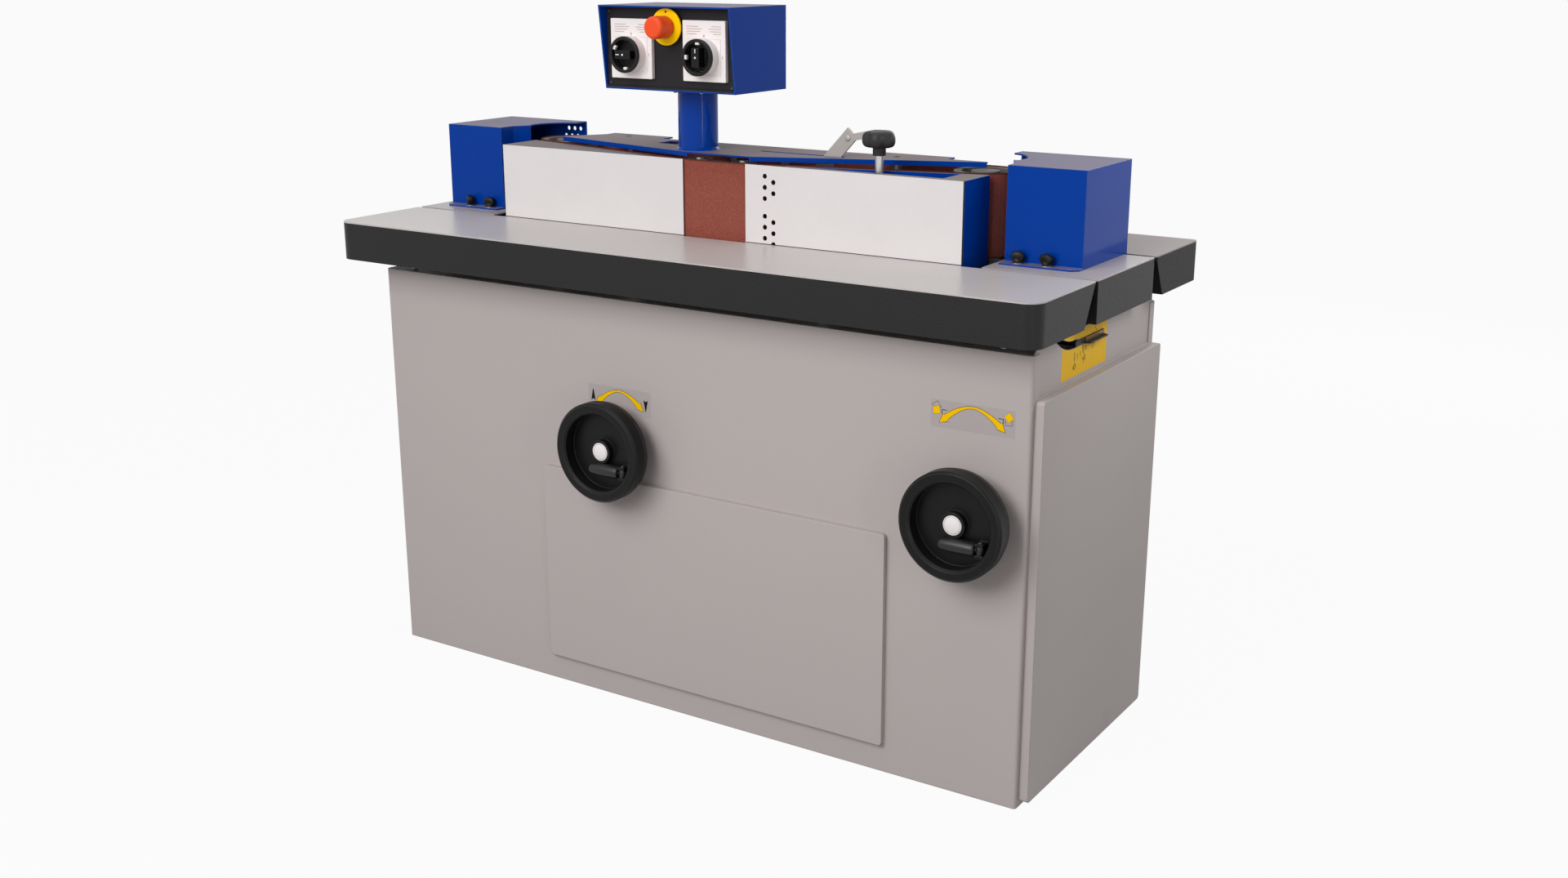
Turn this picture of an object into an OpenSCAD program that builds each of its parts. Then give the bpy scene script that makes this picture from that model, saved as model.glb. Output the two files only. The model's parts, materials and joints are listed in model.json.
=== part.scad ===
// Tilting edge belt sander with a split fence, a three-part work table and a sheet-metal cabinet.
// Millimetres, +Z up, X along the table, origin on the floor under the middle of the machine.

/* [Cabinet] */
// Reach of the cabinet beyond the drum axes, half of both ends together
cab_room = 237; // [172:1:257]
// Lap of the rear table over the cabinet
rear_lap = 101; // [80:1:170]
// Tables above the cabinet's top edge
table_rise = 25; // [15:1:60]
// Cabinet centre to the right of the table centre
cab_shift = 12; // [0:1:20]
// Sheet thickness of the cabinet
skin = 2; // [1.5:0.5:3]
// Radius of the folded cabinet edges
edge_r = 6; // [4:1:10]
// Depth of the folded top flanges
flange_w = 30; // [20:1:32]

/* [Tables] */
// Height of the table surface above the floor
table_top = 900; // [860:5:950]
// Thickness of the tables
table_t = 75; // [60:1:80]
// Reach of the tables beyond the drum axes
table_room = 283; // [267:1:322]
// Inner edge of the end tables beyond the drum axes
drum_room = 75; // [70:1:102]
// Front edge of the front table ahead of the cabinet
table_overhang = 69; // [40:1:74]
// Corner radius of the front table
corner_r = 30; // [10:1:50]
// Sanding plane behind the cabinet front
sand_y = 162; // [150:1:175]
// Gap from the sanding plane to the table edges
table_gap = 5; // [3:1:8]
// Run of the undercut on the tables beside the swinging unit
bevel_run = 40; // [30:1:50]
// Depth of the end tables
end_table_d = 252; // [240:1:254]
// Gap between end tables and rear table
rear_gap = 10; // [6:1:20]
// Depth of the rear table
rear_table_d = 213; // [150:1:260]
// Travel of the front table
lift_travel = 100; // [40:5:120]

/* [Covers] */
// Width of the front cover
front_cover_w = 765; // [500:5:800]
// Top of the front cover below the lift handwheel's axis
cover_drop = 69; // [65:1:170]
// Thickness of the front cover
front_cover_t = 10; // [6:1:16]
// Side door inside the cabinet's rear edge
door_in = 6; // [2:1:60]
// Gap between the side door and the panel above it
door_gap = 2; // [1:1:36]
// Thickness of the side door
door_t = 17; // [10:1:22]
// Width of the end covers
end_cover_w = 145; // [120:1:160]
// Top of the end covers above the table
end_cover_h = 168; // [160:1:200]
// Sheet thickness of the blue covers
sheet = 3; // [2:0.5:4]

/* [Sanding unit] */
// Middle of the sanding unit from the table centre
unit_x = -5; // [-12:1:12]
// Diameter of the belt drums
drum_d = 114; // [100:1:118]
// Distance between the drum axes
drum_span = 956; // [920:2:960]
// Drum axes behind the sanding plane
drum_back = 163; // [150:1:163]
// Diameter of the two front rollers
roller_d = 48; // [40:1:54]
// Distance between the front rollers
roller_span = 98; // [90:1:110]
// Width of the sanding belt
belt_w = 150; // [120:5:150]
// Thickness of the sanding belt
belt_t = 1.5; // [1:0.25:2]
// Outer ends of the fences inside the end tables
fence_end = 36.5; // [30:0.5:80]
// Opening between the fences
fence_gap = 141; // [136:1:150]
// Height of the fences above the table
fence_h = 144; // [120:1:150]
// Thickness of the fence faces
fence_t = 6; // [4:0.5:8]
// Thickness of the unit's base plate
unit_plate_t = 15; // [10:1:20]
// Diameter of the motor
motor_d = 168; // [140:1:176]
// Length of the motor under the base plate
motor_len = 236; // [180:1:245]
// Greatest lean of the unit
tilt_max = 45; // [30:1:45]

/* [Controls] */
// Width of the control box
box_w = 296; // [270:1:330]
// Height of the control box
box_h = 153; // [145:1:180]
// Depth of the control box at its floor
box_d = 168; // [140:1:180]
// Reach of the hood ahead of the control box floor
hood = 18; // [8:1:24]
// Diameter of the control post
post_d = 76; // [60:1:80]
// Length of the control post
post_len = 113; // [80:1:200]
// Width of the switch plates
switch_w = 94; // [80:1:98]
// Height of the switch plates
switch_h = 108; // [90:1:110]
// Diameter of the rotary switch collars
collar_d = 66; // [50:1:70]
// Diameter of the emergency stop ring
ring_d = 66; // [50:1:68]
// Diameter of the emergency stop button
stop_d = 40; // [30:1:44]

/* [Handwheels] */
// Diameter of the handwheels
wheel_d = 190; // [170:1:210]
// Front of the handwheels ahead of the cabinet
wheel_out = 76; // [74:1:90]
// Lift handwheel from the table centre
lift_x = -113; // [-140:1:-90]
// Lift handwheel below the cabinet's top edge
lift_drop = 278; // [260:1:300]
// Tilt handwheel outside the right quadrant
tilt_out = 52; // [42:1:70]
// Tilt handwheel below the cabinet's top edge
tilt_drop = 285; // [270:1:320]

/* [Hidden] */
$fn = 48;
over = 1;              // overrun of every cut
run = 0.05;            // radial clearance of running shafts
slack = 0.3;           // clearance of guided curved faces

// Lengths that follow the drums
cab_w = drum_span + 2 * cab_room;
table_len = drum_span + 2 * table_room;
end_table_in = drum_span / 2 + drum_room;
fence_len = end_table_in - fence_end - fence_gap / 2;

// Heights that follow the table surface
cab_h = table_top - table_t - table_rise;
lift_z = cab_h - lift_drop;
tilt_z = cab_h - tilt_drop;

// Planes and places of the cabinet
table_split = sand_y + table_gap + end_table_d + rear_gap;
table_rear = table_split + rear_table_d;
cab_d = table_split + rear_lap;
cy = (wheel_out - table_rear) / 2;
x_l = cab_shift - cab_w / 2;
x_r = cab_shift + cab_w / 2;
cab_x = [x_l, x_r];
cab_y = [cy, cy + cab_d];
in_y = [cy + skin, cy + cab_d - skin];
return_d = 25;         // folded side returns of front and rear panel
base_w = 60;           // width of the floor ring
base_t = 8;            // thickness of the floor ring
anchor_d = 14;         // holes for floor anchors
anchor_in = 30;        // anchor holes from the ring's outside
split_drop = 74;       // top of the lower right panel below the cabinet's top
side_split = cab_h - split_drop;
scale_t = 3;           // thickness of the scale plate
scale_lap = 36;        // scale plate reaches behind the panel below it
scale_rise = 12;       // scale plate above the cabinet
scale_chamfer = 14;
panel_open_y = [90, 380];
panel_open_in = [80, 86]; // side opening from the floor and from the split
panel_open_z = [panel_open_in[0], side_split - panel_open_in[1]];
cover_lap = 40;        // front cover beyond its opening
front_cover_x = 84;
front_cover_z = 54;
front_cover_h = lift_z - cover_drop - front_cover_z;
tray_wall = 2;
tray_r = 7;
door_y = 12;
door_d = cab_d - door_in - door_y;
door_z = 10;
door_h = side_split - door_gap - door_z;
port_d = 120;
port_len = 60;
port_wall = 3;
port_z = 250;
port_flange_d = 160;
port_flange_t = 4;

// Tables
table_low = table_top - table_t;
table_x = [-table_len / 2, table_len / 2];
front_edge = sand_y - table_gap;
end_front = sand_y + table_gap;
end_rear = end_front + end_table_d;
rear_front = table_split;
cast_top = 12;         // thickness of the castings' tops
cast_wall = 18;        // walls, ribs and boss rims of the castings
rear_corner_r = 10;
rear_cells = 4;
stud_d = 10;
stud_in = [60, 20];    // studs from the cabinet's ends and front
support_w = 26;
support_in = [13, 14]; // side bars from the end tables' front and rear edges
support_y = [end_front + support_in[0], end_rear - support_in[1]];
rear_support_x = 560;

// Table lift
column_d = 30;
column_x = 300;
column_y = 60;
column_grip = 85;      // column left below its guide at full height
carrier_w = 720;
carrier_t = 12;
carrier_drop = 60;     // carrier below the cabinet's top
carrier_z = cab_h - carrier_drop;
carrier_h = 120;
guide_d = 50;
guide_h = 60;
screw_d = 20;
screw_top_gap = 35;    // screw ends this far below the table
nut_d = 44;
nut_len = 205;
gearbox_w = 80;
gearbox_d = 98;
gearbox_h = 90;
gearbox_seat = 30;     // screw end inside the gearbox
shaft_d = 20;
shaft_seat = 4;        // shaft reaches past the screw axis

// Handwheels
wheel_rim = 21;
wheel_rim_t = 40;
rim_edge = 4;          // chamfers of the rim's front
rim_draft = [4, 14];   // taper of the rim's back, in and along
web_t = 10;
web_out = 38;
hub_d = 44;
hub_out = 10;
hub_face = 62;
hub_bore_end = 52;
grip_d = 23;
grip_neck_d = 19;
grip_len = 64;
grip_swell_share = 0.66;
grip_round = 7;        // rounding of the grip's end
grip_start = 12;
grip_out = 61;
pivot_u = 52;
pivot_v = -34;
eye_d = 14;
stem_d = 8;
grip_pin_d = 6;
lug_w = 14;
lug_t = 5;
lug_gap = 0.5;
lug_top = 68;

// Tilting frame about the sanding line on the table surface
pivot = [cy + sand_y, table_top];
quad_r = [135, 185];
quad_slot = [152, 168];
quad_angles = [-6, 52];
quad_t = 12;
quad_out = 22;         // quadrants beyond the end tables' inner edges
quad_x = end_table_in + quad_out;
tilt_x = unit_x + quad_x + tilt_out;
slot_end = 4;          // slot stops this many degrees before the quadrant's ends
shoe_angle = 1.5;
shoe_block_y = [-32, 33];
shoe_drop = [208, 154];
shoe_block_z = [table_top - shoe_drop[0], table_top - shoe_drop[1]];
unit_gap = 10;         // base plate inside the end tables
unit_half = end_table_in - unit_gap;
web_in = 25;           // hanger webs inside the base plate's ends
web_x = unit_half - web_in;
bracket_back = [23, 70];
bracket_y = [sand_y + bracket_back[0], sand_y + bracket_back[1]];
bracket_drop = [158, 110];
bracket_z = [table_top - bracket_drop[0], table_top - bracket_drop[1]];
arm_angle = 28;        // tilt arm behind straight down at rest
arm_w = 44;
arm_play = 0.4;        // slot beside the pin where the arm strays most
arm_slot_end = [13, 14];
arm_end = 12;          // arm beyond its slot
arm_lap = 6;           // arm reaches into the quadrant
nut_pin_d = 16;
nut_block = [40, 36, 44];
spindle_d = 24;
bearing_w = 50;
bearing_t = 18;
bearing_gap = 24;      // rear bearing behind the nut at rest
arm_drop = table_top - tilt_z;

// The nut runs evenly along its spindle while the arm swings evenly, so the pin strays a little in the slot
nut_travel = arm_drop * (tan(arm_angle) - tan(arm_angle - tilt_max));
stray_angle = acos(sqrt(arm_drop * tilt_max * PI / 180 / nut_travel));
stray_y = arm_drop * tan(arm_angle) - nut_travel * (arm_angle - stray_angle) / tilt_max;
arm_error = (stray_y - arm_drop * tan(stray_angle)) / 2;
arm_slot_w = nut_pin_d + 2 * (arm_error + arm_play);
arm_slot_r = [arm_drop - arm_slot_end[0], arm_drop / cos(arm_angle) + arm_slot_end[1]];
arm_tip = arm_slot_r[1] + arm_end;
nut_y = pivot[0] + arm_drop * tan(arm_angle) - arm_error;
rear_bearing_y = nut_y - cy + nut_block[1] / 2 + bearing_gap;
pointer_r = 112;
pointer_angle = 3;
pointer_pin_d = 8;
pointer_slot = 14;
pointer_t = 3;
pointer_bar = 10;
pointer_len = 117;
pointer_tab = 36;

// Sanding unit
unit_drop = 17;        // base plate below the table surface
unit_top = table_top - unit_drop;
unit_low = unit_top - unit_plate_t;
unit_back = [15, 242]; // base plate behind the sanding plane
unit_y = [sand_y + unit_back[0], sand_y + unit_back[1]];
belt_drop = 5;
belt_z = table_top - belt_drop;
belt_gap = 0.5;        // belt clear of drums and rollers
belt_out = belt_t + belt_gap;
drum_y = cy + sand_y + drum_back;
drum_x = drum_span / 2;
drum_lap = 2;          // belt beyond the drums' ends
drum_z = [belt_z + drum_lap, belt_z + belt_w - drum_lap];
drum_rim = 12;
drum_hub_d = 52;
drum_web_t = 16;
roller_y = cy + sand_y + belt_out + roller_d / 2;
roller_x = roller_span / 2;
roller_bore_d = 16;
roller_cap_d = 30;
roller_cap_t = 3;
drive_shaft_d = 28;
drive_shaft_seat = 34;
motor_rib = [6, 5];    // depth and width of the cooling ribs
motor_ribs = 28;
motor_rib_gap = 1;     // ribs inside the cowl's outside
motor_cowl = 62;       // plain fan cowl at the motor's lower end
motor_neck_d = 140;
motor_neck_len = 54;
terminal_box = [70, 60, 90];
terminal_drop = 24;
plate_bore_d = 44;
carriage = [122, 76, 9];
carriage_out = 42;     // carriage beyond the idler's axis
carriage_travel = 15;
carriage_post = [12, 34];
idler_shaft_d = 25;
idler_collar_d = 36;
rail_w = 14;
rail_h = 12;
rail_len = 176;
pad_w = 40;
pad_d = 22;
platen_gap = 0.6;

// Top cover plate and its posts
plate_rise = 11;       // top plate above the belt
cover_plate_z = belt_z + belt_w + plate_rise;
cover_plate_t = 3;
cover_lip = 9;
plate_back = [14, 208]; // front and rear edge behind the sanding plane
plate_front_half = 70;
plate_tip_in = [37, 4]; // left and right tip inside the drum axes
plate_tip_back = [98, 172];
plate_tip_end = 6;
plate_end_in = 85;     // plate's ends inside the drum axes
plate_end_back = 178;  // corner between an end and its tip
plate_waist = [246, 173]; // half length and rear edge of the narrow middle
plate_hole_x = [-207, -150];
plate_hole_back = [105, 150];
post_in = [147, 178];  // outer posts inside the drum axes
post_back = [173, 158, 150];
post_half = 60;
post_spots = [[post_in[0] - drum_x, post_back[0]], [drum_x - post_in[1], post_back[1]],
    [-post_half, post_back[2]], [post_half, post_back[2]]];
stand_d = 16;

// Tension lever
lever_x = 148;
lever_back = 100;      // lever behind the sanding plane
lever_y = sand_y + lever_back;
lever_drop = 48;       // lever's pin below the top plate
lever_z = cover_plate_z - lever_drop;
lever_angle = 43;
lever_len = 127;
lever_w = 27;
lever_t = 5;
lever_handle = 58;
lever_handle_w = 13;
lever_handle_drop = 8;
handle_angle = 35;
lever_hub_d = 40;
lever_pin_d = 12;
crank_r = 15;          // throw of the lever's crank pin
crank_angle = 30;      // crank pin ahead of straight up at rest
crank_pin_d = 8;
yoke_t = 6;
yoke_w = 26;
yoke_slot_h = 13;
cheek_t = 8;
cheek_w = 40;
lever_slot = [113, 70]; // slot left and right of the lever's pin
lever_slot_w = 10;

// Fences
fence_set = 0.5;       // fence faces behind the belt
fence_lift = 1;        // fence faces above the table
fence_tip = 1;
fence_taper = 34;
belt_angle = atan2(drum_back - belt_out - roller_d / 2, drum_x - roller_x)
    - asin((drum_d - roller_d) / 2 / norm([drum_x - roller_x, drum_back - belt_out - roller_d / 2]));
bracket_gap = 10;      // fence brackets ahead of the belt
bracket_in = 80;       // brackets start this far along the fence
fence_hole_d = 9;
fence_hole_x = [43, 61.5];
fence_hole_z = [11, 84];
fence_hole_pitch = 20.3;
hole_shift_share = 0.5; // second column of holes between the rows of the first
fence_lip = 12;
bracket_deck = 48;     // closed end of the open bracket's top
clamp_along = 334;     // clamp from the unit's middle
clamp_back = 32;       // clamp behind the sanding plane
clamp_x = unit_x + clamp_along;
clamp_y = sand_y + clamp_back;
stem_od = 15;
clamp_collar_d = 38;
clamp_collar_h = 6;
clamp_slot = 5;
knob_d = 62;
knob_h = 29;
knob_rise = 31;        // knob above the top plate
knob_low = cover_plate_z + knob_rise;
knob_neck_d = 24;
knob_neck_h = 14;
knob_lobes = 5;
knob_lobe_d = 20;

// End covers
cover_shift = 9;       // middle of the end covers left of the unit's middle
end_cover_x = unit_x - cover_shift;
cover_out = 21;        // end covers beyond the end tables' inner edges
end_cover_in = end_table_in + cover_out;
cover_set = [65, 11];  // covers behind the end tables' front and rear edges
end_cover_y = [end_front + cover_set[0], end_rear + cover_set[1]];
cover_side = 38;       // inner side wall before its slanting part
cover_slant = 22;
hood_in = 66;
hood_back = 138;       // hood's front edge behind the sanding plane
hood_y = sand_y + hood_back;
hood_notch_d = 150;
hood_hole_d = 9;
hood_hole_pitch = 16;
flange_d = 24;
wing_spots = [30, 84];
wing_d = 25;
wing_t = 9;
wing_h = 22;
wing_neck_d = 12;
wing_neck_h = 9;

// Controls
post_along = -82;      // post from the unit's middle
post_set = 68;         // post behind the sanding plane
post_x = unit_x + post_along;
post_y = sand_y + post_set;
post_wall = 4;
post_flange_d = 96;
post_flange_t = 5;
box_ahead = 22;        // box floor ahead of the sanding plane
box_front = sand_y - box_ahead;
box_z = cover_plate_z + post_len;
panel_t = 3;
panel_set = 4;
switch_rise = 21;      // switch plates above the box floor
switch_z = box_z + switch_rise;
switch_pitch = 165;
switch_t = 8;
collar_t = 24;
collar_wall = 6;
collar_rise = 44;      // switch centre above the plate's lower edge
rotor_d = 50;
rotor_t = 8;
rotor_bar = 15;
rotor_bar_t = 20;
rotor_pin_d = 12;
ring_t = 3;
ring_drop = 37;        // stop button below the box top
ring_z = box_z + box_h - ring_drop;
stop_neck_d = 24;
stop_round = 6;        // rounding of the button's face
stop_travel = 4;
stop_len = 38;
stop_bush_d = 30;
stop_bush_t = 8;

// Shapes that repeat

// Box between two corners given as ranges along each axis
module block(x, y, z) {
    translate([x[0], y[0], z[0]]) cube([x[1] - x[0], y[1] - y[0], z[1] - z[0]]);
}

// Round bars along the three axes
module rod_z(x, y, z, d) {
    translate([x, y, z[0]]) cylinder(h = z[1] - z[0], d = d);
}

module rod_y(x, y, z, d) {
    translate([x, y[0], z]) rotate([-90, 0, 0]) cylinder(h = y[1] - y[0], d = d);
}

module rod_x(x, y, z, d) {
    translate([x[0], y, z]) rotate([0, 90, 0]) cylinder(h = x[1] - x[0], d = d);
}

// Flat rectangle with round corners
module round_rect(x, y, r) {
    translate([x[0] + r, y[0]]) square([x[1] - x[0] - 2 * r, y[1] - y[0]]);
    translate([x[0], y[0] + r]) square([x[1] - x[0], y[1] - y[0] - 2 * r]);
    for (px = [x[0] + r, x[1] - r], py = [y[0] + r, y[1] - r]) translate([px, py]) circle(r);
}

// Round-cornered plates standing across Y and across X
module plate_y(x, y, z, r) {
    translate([0, y[1], 0]) rotate([90, 0, 0]) linear_extrude(y[1] - y[0]) round_rect(x, z, r);
}

module plate_x(x, y, z, r) {
    translate([x[0], 0, 0]) rotate([90, 0, 90]) linear_extrude(x[1] - x[0]) round_rect(y, z, r);
}

// Flat shape of the YZ plane extruded along X
module along_x(x) {
    translate([x[0], 0, 0]) rotate([90, 0, 90]) linear_extrude(x[1] - x[0]) children();
}

// Direction below the pivot, leaning to the rear with the angle
function below(a) = [sin(a), -cos(a)];

// Ring sector about the tilt pivot in the YZ plane
module pivot_band(r, a) {
    reach = 2 * r[1];
    translate(pivot) intersection() {
        difference() {
            circle(r[1]);
            circle(r[0]);
        }
        polygon([[0, 0], reach * below(a[0]), reach * below((a[0] + a[1]) / 2), reach * below(a[1])]);
    }
}

// Cabinet

// Ring of sheet around the cabinet's plan
module cab_ring() {
    difference() {
        round_rect(cab_x, cab_y, edge_r);
        round_rect([x_l + skin, x_r - skin], in_y, edge_r - skin);
    }
}

// Part of the cabinet ring inside a plan window
module cab_wall(x, y, h) {
    linear_extrude(h) intersection() {
        cab_ring();
        translate([x[0], y[0]]) square([x[1] - x[0], y[1] - y[0]]);
    }
}

module base_frame() {
    ring_x = [x_l + skin, x_r - skin];
    color("dimgray") difference() {
        linear_extrude(base_t) round_rect(ring_x, in_y, edge_r);
        block([ring_x[0] + base_w, ring_x[1] - base_w], [in_y[0] + base_w, in_y[1] - base_w],
            [-over, base_t + over]);
        for (x = [ring_x[0] + anchor_in, ring_x[1] - anchor_in])
            for (y = [in_y[0] + anchor_in, in_y[1] - anchor_in])
                rod_z(x, y, [-over, base_t + over], anchor_d);
    }
}

module front_panel() {
    cover_x = [front_cover_x - front_cover_w / 2 + cover_lap, front_cover_x + front_cover_w / 2 - cover_lap];
    cover_z = [front_cover_z + cover_lap, front_cover_z + front_cover_h - cover_lap];
    color("darkgray") difference() {
        union() {
            cab_wall(cab_x, [cy, cy + return_d], cab_h);
            block([x_l + edge_r, x_r - edge_r], [cy + skin / 2, cy + flange_w], [cab_h - skin, cab_h]);
        }
        block(cover_x, [cy - over, cy + skin + over], cover_z);
        for (s = [[lift_x, lift_z], [tilt_x, tilt_z]])
            rod_y(s[0], [cy - over, cy + skin + over], s[1], shaft_d + 2 * slack);
    }
}

module side_panels() {
    mid = [cy + return_d, cy + cab_d - return_d];
    flange_y = [cy + flange_w, cy + cab_d - flange_w];
    color("darkgray") {
        cab_wall([x_l, 0], mid, cab_h);
        block([x_l + skin / 2, x_l + flange_w], flange_y, [cab_h - skin, cab_h]);
        difference() {
            cab_wall([0, x_r], mid, side_split);
            block([x_r - skin - over, x_r + over], [cy + panel_open_y[0], cy + panel_open_y[1]],
                panel_open_z);
        }
    }
}

module rear_panel() {
    rear = cab_y[1];
    color("darkgray") difference() {
        union() {
            cab_wall(cab_x, [rear - return_d, rear], cab_h);
            block([x_l + edge_r, x_r - edge_r], [rear - flange_w, rear - skin / 2], [cab_h - skin, cab_h]);
        }
        rod_y(0, [rear - skin - over, rear + over], port_z, port_d - 2 * port_wall);
    }
}

module front_cover() {
    x = [front_cover_x - front_cover_w / 2, front_cover_x + front_cover_w / 2];
    z = [front_cover_z, front_cover_z + front_cover_h];
    y = [cy - front_cover_t, cy];
    w = tray_wall;
    color("darkgray") difference() {
        plate_y(x, y, z, tray_r);
        plate_y([x[0] + w, x[1] - w], [y[0] + w, y[1] + over], [z[0] + w, z[1] - w], tray_r - w);
    }
}

module side_door() {
    x = [x_r, x_r + door_t];
    y = [cy + door_y, cy + door_y + door_d];
    z = [door_z, door_z + door_h];
    w = tray_wall;
    color("darkgray") difference() {
        plate_x(x, y, z, tray_r);
        plate_x([x[0] - over, x[1] - w], [y[0] + w, y[1] - w], [z[0] + w, z[1] - w], tray_r - w);
    }
}

module scale_plate() {
    x = [x_r - skin - scale_t, x_r - skin];
    y = [cy + edge_r, cy + cab_d - edge_r];
    z = [side_split - scale_lap, cab_h + scale_rise];
    c = scale_chamfer;
    color("gainsboro") difference() {
        union() {
            along_x(x) polygon([[y[0], z[0]], [y[1], z[0]], [y[1], z[1] - c], [y[1] - c, z[1]],
                [y[0] + c, z[1]], [y[0], z[1] - c]]);
            block([x[0] - flange_w, x[0] + scale_t / 2], [cy + flange_w, cy + cab_d - flange_w],
                [cab_h - skin, cab_h]);
        }
        along_x([x[0] - flange_w - over, x[1] + over])
            pivot_band([pointer_r - pointer_slot / 2, pointer_r + pointer_slot / 2],
                [pointer_angle - tilt_max - slot_end, pointer_angle + slot_end]);
    }
}

module dust_port() {
    rear = cab_y[1];
    color("dimgray") difference() {
        union() {
            rod_y(0, [rear, rear + port_flange_t], port_z, port_flange_d);
            rod_y(0, [rear, rear + port_len], port_z, port_d);
        }
        rod_y(0, [rear - over, rear + port_len + over], port_z, port_d - 2 * port_wall);
    }
}

// Tables

cell_z = [table_low - over, table_top - cast_top];

// Casting with a rounded front, open cells below and bosses over the studs, the columns and the lift nut
module front_table() {
    y = [cy - table_overhang, cy + front_edge];
    cell_y = [y[0] + cast_wall, y[1] - bevel_run - cast_wall];
    bosses = [[x_l + stud_in[0], stud_d], [-column_x, column_d], [lift_x, nut_d], [column_x, column_d],
        [x_r - stud_in[0], stud_d]];
    half = [for (b = bosses) b[1] / 2 + cast_wall];
    starts = [table_x[0] + corner_r, for (i = [0 : len(bosses) - 1]) bosses[i][0] + half[i]];
    ends = [for (i = [0 : len(bosses) - 1]) bosses[i][0] - half[i], table_x[1] - corner_r];
    color("dimgray") difference() {
        intersection() {
            along_x(table_x) polygon([[y[0], table_low], [y[1] - bevel_run, table_low], [y[1], table_top],
                [y[0], table_top]]);
            translate([0, 0, table_low]) linear_extrude(table_t) union() {
                round_rect(table_x, [y[0], y[1] - corner_r], corner_r);
                translate([table_x[0], y[0] + corner_r]) square([table_len, y[1] - y[0] - corner_r]);
            }
        }
        for (i = [0 : len(starts) - 1]) block([starts[i], ends[i]], cell_y, cell_z);
    }
}

// Casting with two open cells beside the land of its support bar
module end_table(side) {
    inner = unit_x + side * end_table_in;
    outer = side * table_len / 2;
    x = [min(inner, outer), max(inner, outer)];
    y = [cy + end_front, cy + end_rear];
    bar = side < 0 ? bar_x[0] : bar_x[1];
    color("dimgray") difference() {
        block(x, y, [table_low, table_top]);
        block([x[0] + cast_wall, bar[0]], [y[0] + cast_wall, y[1] - cast_wall], cell_z);
        block([bar[1], x[1] - cast_wall], [y[0] + cast_wall, y[1] - cast_wall], cell_z);
    }
}

// Casting with a row of open cells behind the land of its support bar
module rear_table() {
    y = [cy + rear_front, cy + table_rear];
    pitch = (table_len - cast_wall) / rear_cells;
    color("dimgray") difference() {
        intersection() {
            along_x(table_x) polygon([[y[0] + bevel_run, table_low], [y[1], table_low], [y[1], table_top],
                [y[0], table_top]]);
            translate([0, 0, table_low]) linear_extrude(table_t) round_rect(table_x, y, rear_corner_r);
        }
        for (i = [0 : rear_cells - 1])
            block([table_x[0] + cast_wall + i * pitch, table_x[0] + (i + 1) * pitch],
                [cab_y[1] - skin, y[1] - cast_wall], cell_z);
    }
}

// Support bars under the end tables, inside the cabinet's sides
bar_x = [[x_l + skin, x_l + skin + support_w], [x_r - skin - scale_t - support_w, x_r - skin - scale_t]];

// Bars and studs that carry the tables on the cabinet's flanges
module table_supports() {
    z = [cab_h, table_low];
    side_y = [cy + support_y[0], cy + support_y[1]];
    rear = cab_y[1];
    color("gray") {
        for (bar = bar_x) block(bar, side_y, z);
        block([-rear_support_x, rear_support_x], [rear - skin - support_w, rear - skin], z);
        for (x = [x_l + stud_in[0], x_r - stud_in[0]]) rod_z(x, cy + stud_in[1], z, stud_d);
    }
}

// Table lift

module lift_carrier() {
    y0 = cy + skin;
    y1 = cy + column_y + guide_d / 2;
    color("gray") difference() {
        union() {
            block([-carrier_w / 2, carrier_w / 2], [y0, y0 + carrier_t], [carrier_z - carrier_h, carrier_z]);
            block([-carrier_w / 2, carrier_w / 2], [y0, y1], [carrier_z - carrier_t, carrier_z]);
            for (x = [-column_x, column_x])
                rod_z(x, cy + column_y, [carrier_z - guide_h, carrier_z], guide_d);
        }
        for (x = [-column_x, column_x])
            rod_z(x, cy + column_y, [carrier_z - guide_h - over, carrier_z + over], column_d + 2 * run);
        rod_z(lift_x, cy + column_y, [carrier_z - carrier_h, carrier_z + over], nut_d + 2 * over);
    }
}

module lift_columns() {
    low = carrier_z - guide_h - lift_travel - column_grip + guide_h / 2;
    color("silver") {
        for (x = [-column_x, column_x]) rod_z(x, cy + column_y, [low, table_low], column_d);
        difference() {
            rod_z(lift_x, cy + column_y, [table_low - nut_len, table_low], nut_d);
            rod_z(lift_x, cy + column_y, [table_low - nut_len - over, table_low - over], screw_d + 2 * run);
        }
    }
}

module lift_gearbox() {
    z = [lift_z - gearbox_h / 2, lift_z + gearbox_h / 2];
    y = [cy + skin, cy + skin + gearbox_d];
    color("slategray") difference() {
        block([lift_x - gearbox_w / 2, lift_x + gearbox_w / 2], y, z);
        rod_y(lift_x, [y[0] - over, cy + column_y + shaft_seat], lift_z, shaft_d + 2 * run);
        rod_z(lift_x, cy + column_y, [z[1] - gearbox_seat, z[1] + over], screw_d + 2 * run);
    }
}

module lift_screw() {
    low = lift_z + gearbox_h / 2 - gearbox_seat;
    color("silver") rod_z(lift_x, cy + column_y, [low, table_low - screw_top_gap], screw_d);
}

module lift_shaft() {
    color("silver") rod_y(lift_x, [cy - hub_bore_end, cy + column_y + shaft_seat], lift_z, shaft_d);
}

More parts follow.
